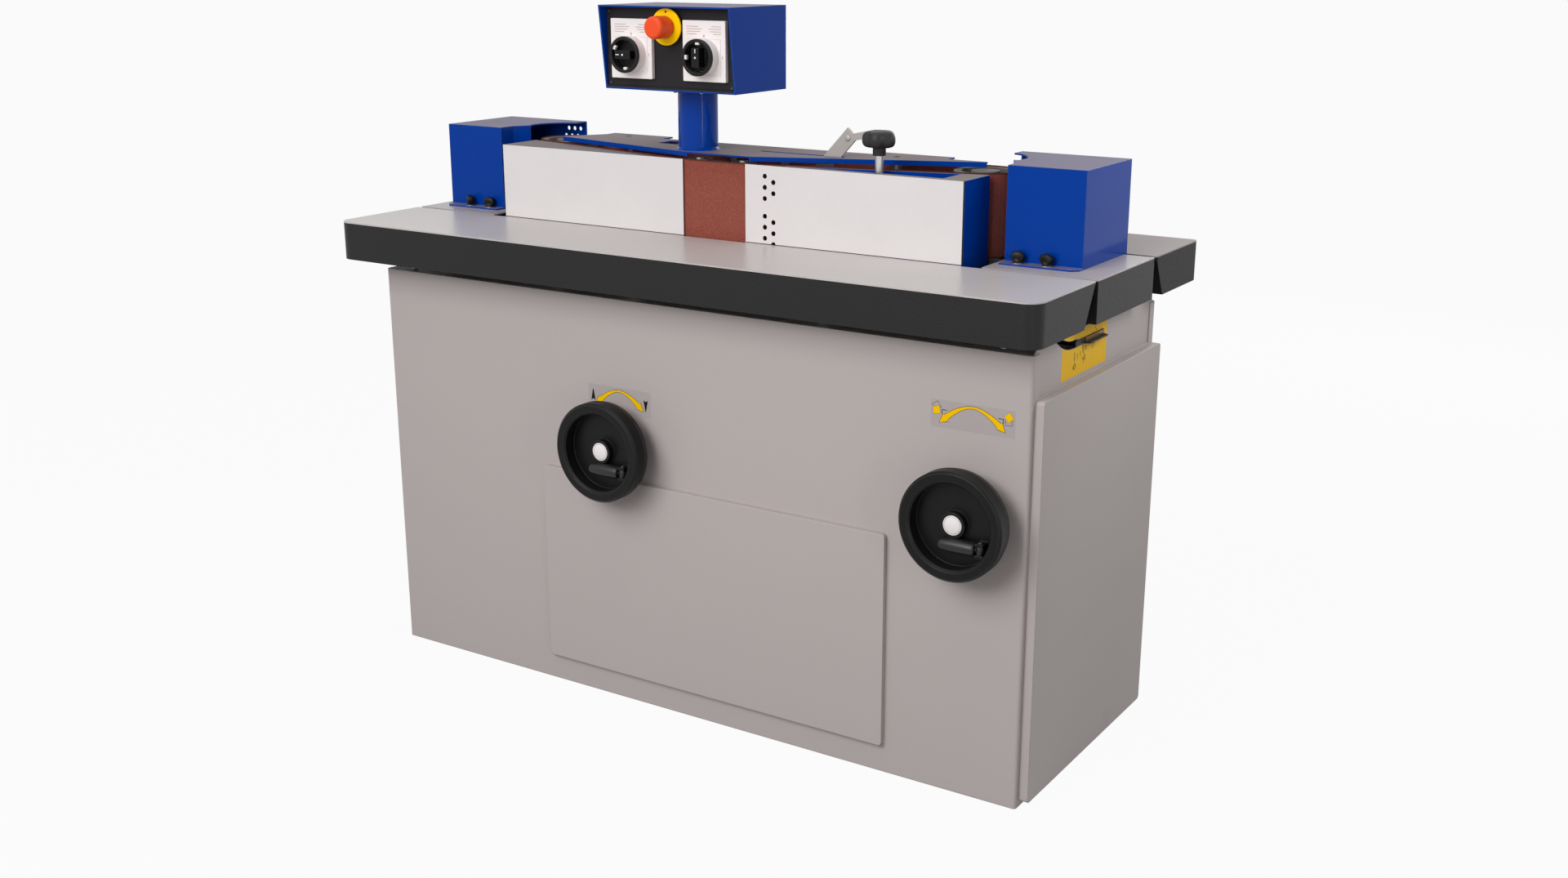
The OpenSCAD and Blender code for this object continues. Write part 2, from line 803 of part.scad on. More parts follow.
// Dished handwheel about a shaft along Y, with a clevis for its folding grip
module handwheel(x, z) {
    rim = [wheel_d / 2 - wheel_rim, wheel_d / 2];
    back = wheel_out - wheel_rim_t;
    side = eye_d / 2 + lug_gap;
    color([0.13, 0.13, 0.13]) translate([x, cy, z]) rotate([90, 0, 0]) {
        rotate_extrude() {
            polygon([[rim[0], back], [rim[1] - rim_draft[0], back], [rim[1], back + rim_draft[1]],
                [rim[1], wheel_out - rim_edge], [rim[1] - rim_edge, wheel_out],
                [rim[0] + rim_edge, wheel_out], [rim[0], wheel_out - rim_edge]]);
            translate([shaft_d / 2, web_out]) square([rim[0] + over - shaft_d / 2, web_t]);
            translate([shaft_d / 2, hub_out]) square([(hub_d - shaft_d) / 2, hub_face - hub_out]);
            translate([0, hub_bore_end]) square([hub_d / 2, hub_face - hub_bore_end]);
        }
        for (v = [pivot_v - side - lug_t, pivot_v + side])
            block([pivot_u - lug_w / 2, pivot_u + lug_w / 2], [v, v + lug_t], [web_out, lug_top]);
        translate([pivot_u, pivot_v - side - lug_t / 2, grip_out]) rotate([-90, 0, 0])
            cylinder(h = 2 * side + lug_t, d = grip_pin_d);
    }
}

// Folding grip that lies in the dish of the handwheel
module wheel_grip(x, z) {
    color([0.18, 0.18, 0.18]) translate([x, cy, z]) rotate([90, 0, 0])
        translate([pivot_u, pivot_v, grip_out]) difference() {
            union() {
                translate([0, -eye_d / 2, 0]) rotate([-90, 0, 0]) cylinder(h = eye_d, d = eye_d);
                rotate([0, -90, 0]) cylinder(h = grip_start + grip_len / 2, d = stem_d);
                translate([-grip_start, 0, 0]) rotate([0, -90, 0]) rotate_extrude() {
                    polygon([[0, 0], [grip_neck_d / 2, 0], [grip_d / 2, grip_len * grip_swell_share],
                        [grip_d / 2, grip_len - grip_round], [grip_d / 2 - grip_round / 2, grip_len],
                        [0, grip_len]]);
                }
            }
            translate([0, -eye_d, 0]) rotate([-90, 0, 0]) cylinder(h = 2 * eye_d, d = grip_pin_d + 2 * run);
        }
}

// Tilt drive

module tilt_spindle() {
    front = cy + skin + bearing_t;
    back = cy + rear_bearing_y;
    color("silver") {
        rod_y(tilt_x, [cy - hub_bore_end, back + bearing_t], tilt_z, shaft_d);
        rod_y(tilt_x, [front, back], tilt_z, spindle_d);
    }
}

module spindle_bearings() {
    half = bearing_w / 2;
    z = [tilt_z - half, tilt_z + half];
    back = cy + rear_bearing_y;
    color("slategray") difference() {
        union() {
            block([tilt_x - half, tilt_x + half], [cy + skin, cy + skin + bearing_t], z);
            block([tilt_x - half, x_r - skin], [back, back + bearing_t], z);
        }
        rod_y(tilt_x, [cy - over, back + bearing_t + over], tilt_z, shaft_d + 2 * run);
    }
}

// Nut that carries the pin in the tilt arm's slot
module tilt_nut() {
    half = nut_block / 2;
    color("goldenrod") difference() {
        union() {
            block([tilt_x - half[0], tilt_x + half[0]], [nut_y - half[1], nut_y + half[1]],
                [tilt_z - half[2], tilt_z + half[2]]);
            rod_x([unit_x + quad_x, tilt_x], nut_y, tilt_z, nut_pin_d);
        }
        rod_y(tilt_x, [nut_y - nut_block[1], nut_y + nut_block[1]], tilt_z, spindle_d + 2 * run);
    }
}

// Curved shoes on the cabinet's sides that guide the quadrants
module tilt_shoes() {
    shoe = [quad_slot[0] + slack, quad_slot[1] - slack];
    color("slategray") for (side = [-1, 1]) {
        face = unit_x + side * (quad_x + quad_t + slack);
        wall = side < 0 ? x_l + skin : x_r - skin - scale_t;
        inner = unit_x + side * (quad_x + slack);
        block([min(face, wall), max(face, wall)], [pivot[0] + shoe_block_y[0], pivot[0] + shoe_block_y[1]],
            shoe_block_z);
        along_x([min(inner, face), max(inner, face)]) pivot_band(shoe, [-shoe_angle, shoe_angle]);
    }
}

// Slotted quadrant with the web that hangs it under the unit's base plate
module tilt_bracket(side) {
    plate = [unit_x + side * quad_x, unit_x + side * (quad_x + quad_t)];
    web = [unit_x + side * web_x, unit_x + side * (web_x + quad_t)];
    y = [cy + bracket_y[0], cy + bracket_y[1]];
    difference() {
        union() {
            along_x([min(plate), max(plate)]) pivot_band(quad_r, quad_angles);
            block([min(web), max(web)], y, [bracket_z[0], unit_low]);
            block([min(web[1], plate[0]), max(web[1], plate[0])], y, bracket_z);
        }
        along_x([min(plate) - over, max(plate) + over])
            pivot_band(quad_slot, [quad_angles[0] + slot_end / 2, quad_angles[1] - slot_end / 2]);
    }
}

module left_tilt_bracket() {
    color("slategray") tilt_bracket(-1);
}

module right_tilt_bracket() {
    plate = [unit_x + quad_x, unit_x + quad_x + quad_t];
    color("slategray") {
        tilt_bracket(1);
        along_x(plate) translate(pivot) rotate(arm_angle) difference() {
            translate([-arm_w / 2, -arm_tip]) square([arm_w, arm_tip - quad_r[1] + arm_lap]);
            translate([-arm_slot_w / 2, -arm_slot_r[1]]) square([arm_slot_w, arm_slot_r[1] - arm_slot_r[0]]);
        }
    }
}

// Pointer that reads the lean on the scale plate
module tilt_pointer() {
    inner = unit_x + quad_x + quad_t;
    face = x_r - skin + slack;
    root = pivot + pointer_r * below(pointer_angle);
    tip = pivot + (pointer_r + pointer_tab) * below(pointer_angle);
    bar_z = [root[1] - pointer_bar / 2, root[1] + pointer_bar / 2];
    color([0.1, 0.1, 0.1]) {
        rod_x([inner, face], root[0], root[1], pointer_pin_d);
        block([inner, inner + pointer_t], [root[0] - pointer_bar / 2, root[0] + pointer_bar / 2],
            [tip[1], root[1] + pointer_pin_d / 2]);
        block([face, face + pointer_t], [root[0] - pointer_pin_d / 2, root[0] + pointer_len], bar_z);
    }
}

// Sanding unit

module unit_plate() {
    color("slategray") difference() {
        block([unit_x - unit_half, unit_x + unit_half], [cy + unit_y[0], cy + unit_y[1]],
            [unit_low, unit_top]);
        rod_z(unit_x - drum_x, drum_y, [unit_low - over, unit_top + over], plate_bore_d);
        rod_z(clamp_x, cy + clamp_y, [unit_low - over, unit_top + over], stem_od + 2 * run);
    }
}

module motor() {
    x = unit_x - drum_x;
    z = [unit_low - motor_len, unit_low - motor_neck_len];
    color("dimgray") difference() {
        union() {
            rod_z(x, drum_y, [z[0], z[0] + motor_cowl], motor_d);
            rod_z(x, drum_y, z, motor_d - 2 * motor_rib[0]);
            for (i = [0 : motor_ribs - 1]) translate([x, drum_y, 0]) rotate(i * 360 / motor_ribs)
                block([motor_d / 2 - 2 * motor_rib[0], motor_d / 2 - motor_rib_gap],
                    [-motor_rib[1] / 2, motor_rib[1] / 2], [z[0] + motor_cowl - over, z[1]]);
            rod_z(x, drum_y, [z[0], unit_low], motor_neck_d);
            block([x + motor_d / 2 - terminal_box[0] / 2, x + motor_d / 2 + terminal_box[0] / 2],
                [drum_y - terminal_box[1] / 2, drum_y + terminal_box[1] / 2],
                [z[1] - terminal_drop - terminal_box[2], z[1] - terminal_drop]);
        }
        rod_z(x, drum_y, [unit_low - drive_shaft_seat, unit_low + over], drive_shaft_d + 2 * run);
    }
}

// Spoked section of a belt drum: rim, web and hub, turned about the drum's axis
module drum_section(hub_in) {
    r = drum_d / 2;
    mid = (drum_z[0] + drum_z[1]) / 2;
    translate([r - drum_rim, drum_z[0]]) square([drum_rim, drum_z[1] - drum_z[0]]);
    translate([hub_in, drum_z[0]]) square([drum_hub_d / 2 - hub_in, drum_z[1] - drum_z[0]]);
    translate([drum_hub_d / 2 - over, mid - drum_web_t / 2])
        square([r - drum_rim - drum_hub_d / 2 + 2 * over, drum_web_t]);
}

module drive_drum() {
    color("silver") translate([unit_x - drum_x, drum_y, 0]) rotate_extrude() {
        drum_section(0);
        translate([0, unit_low - drive_shaft_seat + slack])
            square([drive_shaft_d / 2, drum_z[0] - unit_low + drive_shaft_seat]);
    }
}

module idler_drum() {
    color("silver") translate([unit_x + drum_x, drum_y, 0]) rotate_extrude()
        drum_section(idler_shaft_d / 2 + run);
}

// Sliding block with the idler's shaft and the slotted pull bar that the lever's crank pin moves
module idler_carriage() {
    x = unit_x + drum_x;
    x0 = x + carriage_out - carriage[0];
    z = [unit_top, unit_top + carriage[2]];
    crank = [lever_x + crank_r * sin(crank_angle), lever_z + crank_r * (1 + cos(crank_angle)) / 2];
    yoke_y = [cy + lever_y + lever_t / 2 + slack, cy + lever_y + lever_t / 2 + slack + yoke_t];
    yoke_z = [crank[1] - yoke_w / 2, crank[1] + yoke_w / 2];
    post_y0 = drum_y - carriage[1] / 2;
    slot = crank_pin_d / 2 + slack;
    color("gray") difference() {
        union() {
            block([x0, x + carriage_out], [drum_y - carriage[1] / 2, drum_y + carriage[1] / 2], z);
            rod_z(x, drum_y, [z[0], drum_z[1]], idler_shaft_d);
            rod_z(x, drum_y, [z[0], drum_z[0] - slack], idler_collar_d);
            block([x0, x0 + carriage_post[0]], [post_y0, post_y0 + carriage_post[1]], [z[0], yoke_z[1]]);
            block([x0, x0 + carriage_post[0]],
                [min(yoke_y[0], post_y0), max(yoke_y[1], post_y0 + carriage_post[1])], yoke_z);
            block([crank[0] - yoke_w / 2, x0 + carriage_post[0]], yoke_y, yoke_z);
        }
        block([crank[0] - slot, crank[0] + slot], [yoke_y[0] - over, yoke_y[1] + over],
            [crank[1] - yoke_slot_h / 2, crank[1] + yoke_slot_h / 2]);
    }
}

// Rails beside the idler carriage and the stand of the tension lever
module tension_guides() {
    x = unit_x + drum_x + carriage_out - carriage[0] / 2 - carriage_travel / 2;
    rail = carriage[1] / 2 + 2 * run;
    cheek = cy + lever_y - lever_t / 2 - slack;
    color("slategray") {
        for (y = [drum_y - rail - rail_w, drum_y + rail])
            block([x - rail_len / 2, min(x + rail_len / 2, unit_x + unit_half)], [y, y + rail_w],
                [unit_top, unit_top + rail_h]);
        block([lever_x - cheek_w / 2, lever_x + cheek_w / 2], [cheek - cheek_t, cheek],
            [unit_top, lever_z + lever_hub_d / 2]);
        rod_y(lever_x, [cheek - cheek_t, cy + lever_y + lever_t / 2], lever_z, lever_pin_d);
    }
}

// Flat tension lever with a bent handle and a crank pin, standing up through the top plate
module tension_lever() {
    y = [cy + lever_y - lever_t / 2, cy + lever_y + lever_t / 2];
    color("silver") translate([lever_x, 0, lever_z]) {
        translate([0, y[1], 0]) rotate([90, 0, 0]) linear_extrude(lever_t) difference() {
            union() {
                circle(d = lever_hub_d);
                rotate(-lever_angle) {
                    translate([-lever_w / 2, 0]) square([lever_w, lever_len]);
                    translate([0, lever_len - lever_w / 2]) rotate(-handle_angle)
                        translate([-lever_handle_w / 2, -lever_handle_drop])
                            square([lever_handle_w, lever_handle + lever_handle_drop]);
                }
            }
            circle(d = lever_pin_d + 2 * run);
        }
        rod_y(crank_r * sin(crank_angle), [y[1] - lever_t / 2, y[1] + slack + yoke_t],
            crank_r * cos(crank_angle), crank_pin_d);
    }
}

module front_roller(side) {
    color("silver") difference() {
        rod_z(unit_x + side * roller_x, roller_y, drum_z, roller_d);
        rod_z(unit_x + side * roller_x, roller_y, [drum_z[0] - over, drum_z[1] + over],
            roller_bore_d + 2 * run);
    }
}

// Roller axles and the posts that carry the top plate
module unit_posts() {
    color("silver") {
        for (side = [-1, 1]) {
            rod_z(unit_x + side * roller_x, roller_y, [unit_top, drum_z[1] + roller_cap_t], roller_bore_d);
            rod_z(unit_x + side * roller_x, roller_y, [unit_top, drum_z[0] - slack], roller_cap_d);
        }
        for (p = post_spots)
            rod_z(unit_x + p[0], cy + sand_y + p[1], [unit_top, cover_plate_z - cover_plate_t], stand_d);
    }
}

// Backing plate of the belt between the rollers
module platen() {
    y = roller_y - roller_d / 2 + platen_gap;
    color("slategray") block([unit_x - pad_w / 2, unit_x + pad_w / 2], [y, y + pad_d], [unit_top, drum_z[1]]);
}

// Outline of the belt's run, grown by a margin over drums and rollers
module belt_run(grow) {
    hull() {
        for (side = [-1, 1]) {
            translate([unit_x + side * drum_x, drum_y]) circle(drum_d / 2 + grow);
            translate([unit_x + side * roller_x, roller_y]) circle(roller_d / 2 + grow);
        }
    }
}

module sanding_belt() {
    color("sienna") translate([0, 0, belt_z]) linear_extrude(belt_w) difference() {
        belt_run(belt_out);
        belt_run(belt_gap);
    }
}

// Corners of one half of the top plate, mirrored for the left one
function plate_half(side, tip, tip_back) = [for (p = [[-plate_front_half, plate_back[0]],
    [plate_front_half, plate_back[0]], [tip, tip_back], [tip, tip_back + plate_tip_end],
    [drum_x - plate_end_in, plate_end_back], [drum_x - plate_end_in, plate_back[1]],
    [plate_waist[0], plate_back[1]], plate_waist, [-plate_front_half, plate_waist[1]]])
    [side * p[0], p[1]]];

// Blue plate over the belt, with a folded lip along both halves of its front
module top_plate() {
    z = [cover_plate_z - cover_plate_t, cover_plate_z];
    color("mediumblue") difference() {
        translate([unit_x, cy + sand_y, 0]) for (i = [0, 1]) {
            half = plate_half(2 * i - 1, drum_x - plate_tip_in[i], plate_tip_back[i]);
            fold = half[2] - half[1];
            lip = [0, sheet * norm(fold) / abs(fold[0])];
            translate([0, 0, z[0]]) linear_extrude(cover_plate_t) polygon(half);
            translate([0, 0, z[1] - cover_lip]) linear_extrude(cover_lip)
                polygon([half[1], half[2], half[2] + lip, half[1] + lip]);
        }
        block([unit_x + plate_hole_x[0], unit_x + plate_hole_x[1]],
            [cy + sand_y + plate_hole_back[0], cy + sand_y + plate_hole_back[1]], [z[0] - over, z[1] + over]);
        block([lever_x - lever_slot[0], lever_x + lever_slot[1]],
            [cy + lever_y - lever_slot_w / 2, cy + lever_y + lever_slot_w / 2], [z[0] - over, z[1] + over]);
    }
}

// Fences

// Plan depth of the belt's outside ahead of the drums, at a distance from the unit's middle
function belt_y(x) = roller_y - (roller_d / 2 + belt_out) / cos(belt_angle)
    + (x - roller_x) * tan(belt_angle);

fence_x = [fence_gap / 2, fence_gap / 2 + fence_len];
fence_y = cy + sand_y + fence_set;
fence_z = [table_top + fence_lift, table_top + fence_h];

// Face of one fence, with its inner end thinned towards the belt
module fence_face() {
    translate([0, 0, fence_z[0]]) linear_extrude(fence_z[1] - fence_z[0])
        polygon([[fence_x[0], fence_y], [fence_x[1], fence_y], [fence_x[1], fence_y + fence_t],
            [fence_x[0] + fence_taper, fence_y + fence_t], [fence_x[0], fence_y + fence_tip]]);
}

// Wedge-shaped plan of a fence bracket, drawn in by a wall
module bracket_plan(wall) {
    x = [fence_x[0] + bracket_in + wall, fence_x[1] - wall];
    front = fence_y + fence_t + wall;
    gap = bracket_gap + wall / cos(belt_angle);
    polygon([[x[0], front], [x[1], front], [x[1], belt_y(x[1]) - gap], [x[0], belt_y(x[0]) - gap]]);
}

module left_fence() {
    color("gainsboro") translate([unit_x, 0, 0]) mirror([1, 0, 0]) fence_face();
}

// Closed wedge behind the left fence
module left_fence_bracket() {
    color("mediumblue") translate([unit_x, 0, unit_top]) mirror([1, 0, 0]) difference() {
        linear_extrude(fence_z[1] - unit_top) bracket_plan(0);
        translate([0, 0, -over]) linear_extrude(fence_z[1] - unit_top + over - sheet) bracket_plan(sheet);
    }
}

module right_fence() {
    rows = [for (base = fence_hole_z, row = [0 : 2]) base + row * fence_hole_pitch];
    between = [for (base = fence_hole_z, row = [0, 1]) base + (row + hole_shift_share) * fence_hole_pitch];
    lowest = [fence_hole_z[0] - hole_shift_share * fence_hole_pitch];
    y = [fence_y - over, fence_y + fence_t + over];
    color("gainsboro") translate([unit_x, 0, 0]) difference() {
        fence_face();
        for (z = rows) rod_y(fence_x[0] + fence_hole_x[0], y, table_top + z, fence_hole_d);
        for (z = between) rod_y(fence_x[0] + fence_hole_x[1], y, table_top + z, fence_hole_d);
        for (z = lowest) rod_y(fence_x[0] + fence_hole_x[1], y, table_top + z, fence_hole_d);
    }
}

// Open wedge behind the right fence, with a floor for the clamp and a lip along its front
module right_fence_bracket() {
    h = fence_z[1] - unit_top;
    stem = [clamp_x - unit_x, cy + clamp_y];
    color("mediumblue") translate([unit_x, 0, unit_top]) difference() {
        union() {
            difference() {
                linear_extrude(h) bracket_plan(0);
                translate([0, 0, sheet]) linear_extrude(h) bracket_plan(sheet);
            }
            translate([0, 0, h - sheet]) linear_extrude(sheet) intersection() {
                bracket_plan(0);
                union() {
                    translate([fence_x[0], fence_y]) square([fence_len, fence_t + fence_lip]);
                    translate([fence_x[1] - bracket_deck, fence_y]) square([bracket_deck, cab_d]);
                }
            }
        }
        rod_z(stem[0], stem[1], [-over, sheet + over], stem_od + 2 * clamp_slot);
    }
}

// Lobed clamp knob on the stem that screws into the base plate
module clamp_knob() {
    floor_z = unit_top + sheet;
    color([0.12, 0.12, 0.12]) translate([clamp_x, cy + clamp_y, 0]) {
        rod_z(0, 0, [unit_low, knob_low], stem_od);
        rod_z(0, 0, [floor_z, floor_z + clamp_collar_h], clamp_collar_d);
        rod_z(0, 0, [knob_low - knob_neck_h, knob_low], knob_neck_d);
        rod_z(0, 0, [knob_low, knob_low + knob_h], knob_d - knob_lobe_d / 2);
        for (i = [0 : knob_lobes - 1]) rotate(i * 360 / knob_lobes)
            rod_z((knob_d - knob_lobe_d) / 2, 0, [knob_low, knob_low + knob_h], knob_lobe_d);
    }
}

// Controls

module control_post() {
    x = post_x;
    y = cy + post_y;
    color("mediumblue") difference() {
        union() {
            rod_z(x, y, [cover_plate_z, box_z], post_d);
            rod_z(x, y, [box_z - post_flange_t, box_z], post_flange_d);
        }
        rod_z(x, y, [cover_plate_z - over, box_z + over], post_d - 2 * post_wall);
    }
}

// Side outline of the control box, drawn in by a wall
module box_side(wall) {
    y = [cy + box_front, cy + box_front + box_d];
    z = [box_z, box_z + box_h];
    polygon([[y[0] + wall, z[0] + wall], [y[1] - wall, z[0] + wall], [y[1] - wall, z[1] - wall],
        [y[0] - hood, z[1] - wall]]);
}

module control_box() {
    x = [post_x - box_w / 2, post_x + box_w / 2];
    lip = [cy + box_front - hood - over, cy + box_front + panel_set];
    color("mediumblue") difference() {
        along_x(x) box_side(0);
        along_x([x[0] + sheet, x[1] - sheet]) box_side(sheet);
        block([x[0] + sheet, x[1] - sheet], lip, [box_z + sheet, box_z + box_h - sheet]);
    }
}

panel_y = cy + box_front + panel_set;

module control_panel() {
    x = [post_x - box_w / 2 + sheet, post_x + box_w / 2 - sheet];
    color([0.16, 0.16, 0.16]) difference() {
        block(x, [panel_y, panel_y + panel_t], [box_z + sheet, box_z + box_h - sheet]);
        for (side = [-1, 1])
            rod_y(post_x + side * switch_pitch / 2, [panel_y - over, panel_y + panel_t + over],
                switch_z + collar_rise, rotor_pin_d + 2 * run);
        rod_y(post_x, [panel_y - over, panel_y + panel_t + over], ring_z, stop_neck_d + 2 * run);
    }
}

module switch_plates() {
    color("gainsboro") for (side = [-1, 1]) {
        x = post_x + side * switch_pitch / 2;
        difference() {
            plate_y([x - switch_w / 2, x + switch_w / 2], [panel_y - switch_t, panel_y],
                [switch_z, switch_z + switch_h], tray_wall);
            rod_y(x, [panel_y - switch_t - over, panel_y + over], switch_z + collar_rise,
                rotor_pin_d + 2 * run);
        }
    }
}

// Open round collars about the rotary switches
module switch_collars() {
    y = [panel_y - switch_t - collar_t, panel_y - switch_t];
    color([0.1, 0.1, 0.1]) for (side = [-1, 1]) difference() {
        rod_y(post_x + side * switch_pitch / 2, y, switch_z + collar_rise, collar_d);
        rod_y(post_x + side * switch_pitch / 2, [y[0] - over, y[1] + over], switch_z + collar_rise,
            collar_d - 2 * collar_wall);
    }
}

// Rotor of a rotary switch with its finger bar
module rotor(side, turn) {
    face = panel_y - switch_t - slack;
    color([0.1, 0.1, 0.1]) translate([post_x + side * switch_pitch / 2, 0, switch_z + collar_rise]) {
        rod_y(0, [face - rotor_t, face], 0, rotor_d);
        rod_y(0, [face, panel_y + panel_t], 0, rotor_pin_d);
        rotate([0, turn, 0])
            block([-rotor_bar / 2, rotor_bar / 2], [face - rotor_t - rotor_bar_t, face - rotor_t],
                [-rotor_d / 2 + rotor_t, rotor_d / 2 - rotor_t]);
    }
}

module stop_ring() {
    color("gold") difference() {
        union() {
            rod_y(post_x, [panel_y - switch_t - ring_t, panel_y - switch_t], ring_z, ring_d);
            rod_y(post_x, [panel_y - switch_t, panel_y], ring_z, stop_bush_d + stop_bush_t);
        }
        rod_y(post_x, [panel_y - switch_t - ring_t - over, panel_y + over], ring_z, stop_neck_d + 2 * run);
    }
}

// Mushroom button of the emergency stop
module stop_button() {
    face = panel_y - switch_t - ring_t - stop_travel - 2 * slack;
    color("orangered") {
        rod_y(post_x, [face, panel_y + panel_t], ring_z, stop_neck_d);
        translate([post_x, face, ring_z]) rotate([90, 0, 0]) rotate_extrude() {
            square([stop_d / 2, stop_len - stop_round]);
            square([stop_d / 2 - stop_round, stop_len]);
            translate([stop_d / 2 - stop_round, stop_len - stop_round]) circle(stop_round);
        }
    }
}

// End covers

// End cover for the right side: outer box, hood over the drum, slanting side wall and front flange
module end_cover() {
    x = [end_cover_in, end_cover_in + end_cover_w];
    slant = [x[0] - cover_slant, cy + hood_y];
    y = [cy + end_cover_y[0], cy + end_cover_y[1]];
    z = [table_top, table_top + end_cover_h];
    tip = end_cover_in - hood_in;
    difference() {
        union() {
            block(x, y, z);
            block([tip, x[0] + over], [cy + hood_y, y[1]], z);
            translate([0, 0, z[0]]) linear_extrude(sheet)
                polygon([[x[0], y[0] + sheet], [x[0], y[0] - flange_d],
                    [x[1] - flange_d / 2, y[0] - flange_d], [x[1], y[0] - flange_d / 2],
                    [x[1], y[0] + sheet]]);
        }
        block([x[0] - over, x[1] - sheet], [y[0] + sheet, y[1] - sheet], [z[0] - over, z[1] - sheet]);
        block([tip - over, x[0]], [cy + hood_y - over, y[1] - sheet], [z[0] - over, z[1] - sheet]);
        rod_z(drum_x + unit_x - end_cover_x, drum_y, [z[0] - over, z[1] + over], hood_notch_d);
        for (i = [0 : 2], j = [0, 1])
            rod_y(tip + hood_hole_pitch * (i + 1 + j / 2), [y[1] - sheet - over, y[1] + over],
                z[1] - hood_hole_pitch * (j + 1), hood_hole_d);
    }
    translate([0, 0, z[0]]) linear_extrude(end_cover_h)
        polygon([[x[0], y[0]], [x[0] + sheet, y[0]], [x[0] + sheet, y[0] + cover_side],
            [slant[0] + sheet, slant[1]], slant, [x[0], y[0] + cover_side]]);
    translate([0, 0, z[1] - sheet]) linear_extrude(sheet)
        polygon([[x[0], y[0] + cover_side], [x[0] + sheet, y[0] + cover_side],
            [x[0] + sheet, slant[1] + sheet], [slant[0], slant[1] + sheet], slant]);
}

module left_cover() {
    color("mediumblue") translate([end_cover_x, 0, 0]) mirror([1, 0, 0]) end_cover();
}

module right_cover() {
    color("mediumblue") translate([end_cover_x, 0, 0]) end_cover();
}

// Wing knobs that hold the end covers' flanges
module cover_knobs() {
    y = cy + end_cover_y[0] - flange_d / 2;
    z = table_top + sheet;
    color([0.1, 0.1, 0.1]) for (side = [-1, 1], spot = wing_spots) {
        x = end_cover_x + side * (end_cover_in + spot);
        rod_z(x, y, [z, z + wing_neck_h], wing_neck_d);
        rod_y(x, [y - wing_t / 2, y + wing_t / 2], z + wing_neck_h + wing_h / 2, wing_d);
    }
}

base_frame();
front_panel();
side_panels();
rear_panel();
front_cover();
side_door();
scale_plate();
dust_port();
front_table();
end_table(-1);  // left_end_table
end_table(1);  // right_end_table
rear_table();
table_supports();
lift_carrier();
lift_columns();
lift_gearbox();
lift_screw();
lift_shaft();
handwheel(lift_x, lift_z);  // lift_wheel
wheel_grip(lift_x, lift_z);  // lift_grip
handwheel(tilt_x, tilt_z);  // tilt_wheel
wheel_grip(tilt_x, tilt_z);  // tilt_grip
tilt_spindle();
tilt_nut();
spindle_bearings();
tilt_shoes();
left_tilt_bracket();
right_tilt_bracket();
tilt_pointer();
unit_plate();
motor();
drive_drum();
idler_drum();
idler_carriage();
tension_guides();
tension_lever();
front_roller(-1);  // left_roller
front_roller(1);  // right_roller
unit_posts();
platen();
sanding_belt();
top_plate();
left_fence();
left_fence_bracket();
right_fence();
right_fence_bracket();
clamp_knob();
control_post();
control_box();
control_panel();
switch_plates();
switch_collars();
rotor(-1, 90);  // main_switch
rotor(1, 0);  // mode_switch
stop_ring();
stop_button();
left_cover();
right_cover();
cover_knobs();
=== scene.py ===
"""Looks of an edge belt sander: finishes, small parts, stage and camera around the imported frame.

Sizes are in millimetres in the row frame and become metres where a mesh is made; the stage says where its own differ.
"""

import json
import logging
import math
from dataclasses import dataclass, field, replace
from enum import Enum
from typing import Any, Callable, Iterable, Optional, Sequence, Union

import bpy
from mathutils import Matrix, Vector


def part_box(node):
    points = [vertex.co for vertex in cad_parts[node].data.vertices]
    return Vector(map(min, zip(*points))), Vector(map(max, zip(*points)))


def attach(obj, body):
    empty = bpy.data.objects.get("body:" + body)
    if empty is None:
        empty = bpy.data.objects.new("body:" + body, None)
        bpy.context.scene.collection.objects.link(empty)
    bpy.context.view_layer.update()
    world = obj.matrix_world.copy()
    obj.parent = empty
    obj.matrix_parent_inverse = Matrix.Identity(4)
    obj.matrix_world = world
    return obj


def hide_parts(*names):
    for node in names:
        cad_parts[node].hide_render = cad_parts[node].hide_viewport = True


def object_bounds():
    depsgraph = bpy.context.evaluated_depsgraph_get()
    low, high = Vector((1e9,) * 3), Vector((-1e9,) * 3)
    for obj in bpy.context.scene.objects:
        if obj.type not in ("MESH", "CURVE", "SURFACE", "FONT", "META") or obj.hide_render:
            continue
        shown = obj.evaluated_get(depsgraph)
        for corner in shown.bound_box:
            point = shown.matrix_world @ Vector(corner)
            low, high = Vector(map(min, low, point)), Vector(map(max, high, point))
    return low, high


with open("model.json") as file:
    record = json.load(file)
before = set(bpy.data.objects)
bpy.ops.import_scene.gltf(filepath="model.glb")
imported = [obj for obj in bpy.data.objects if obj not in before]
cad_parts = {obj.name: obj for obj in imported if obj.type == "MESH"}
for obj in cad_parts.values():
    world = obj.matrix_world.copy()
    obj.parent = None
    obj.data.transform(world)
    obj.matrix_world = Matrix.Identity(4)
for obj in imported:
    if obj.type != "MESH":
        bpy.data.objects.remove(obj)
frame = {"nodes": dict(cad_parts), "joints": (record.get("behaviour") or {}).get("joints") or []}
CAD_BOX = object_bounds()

LOG = logging.getLogger("edge_sander")
MM = 0.001
TINY = 1e-6
PIECE_SMOOTH_DEG = 32.0
NODE_SMOOTH_DEG = 28.0

Rgb = tuple[float, float, float]
Rgba = tuple[float, float, float, float]
Point2 = tuple[float, float]
Point3 = tuple[float, float, float]
Profile = tuple[Point2, ...]

WHITE: Rgba = (1.0, 1.0, 1.0, 1.0)
# Warm grey of sanding dust, also painted on upward faces as their reflection of the surroundings.
DUST_AND_REFLECTION_GREY: Rgb = (126, 115, 111)


class Axis(Enum):
    """Direction that a finish or a form runs along."""

    X = 0
    Y = 1
    Z = 2


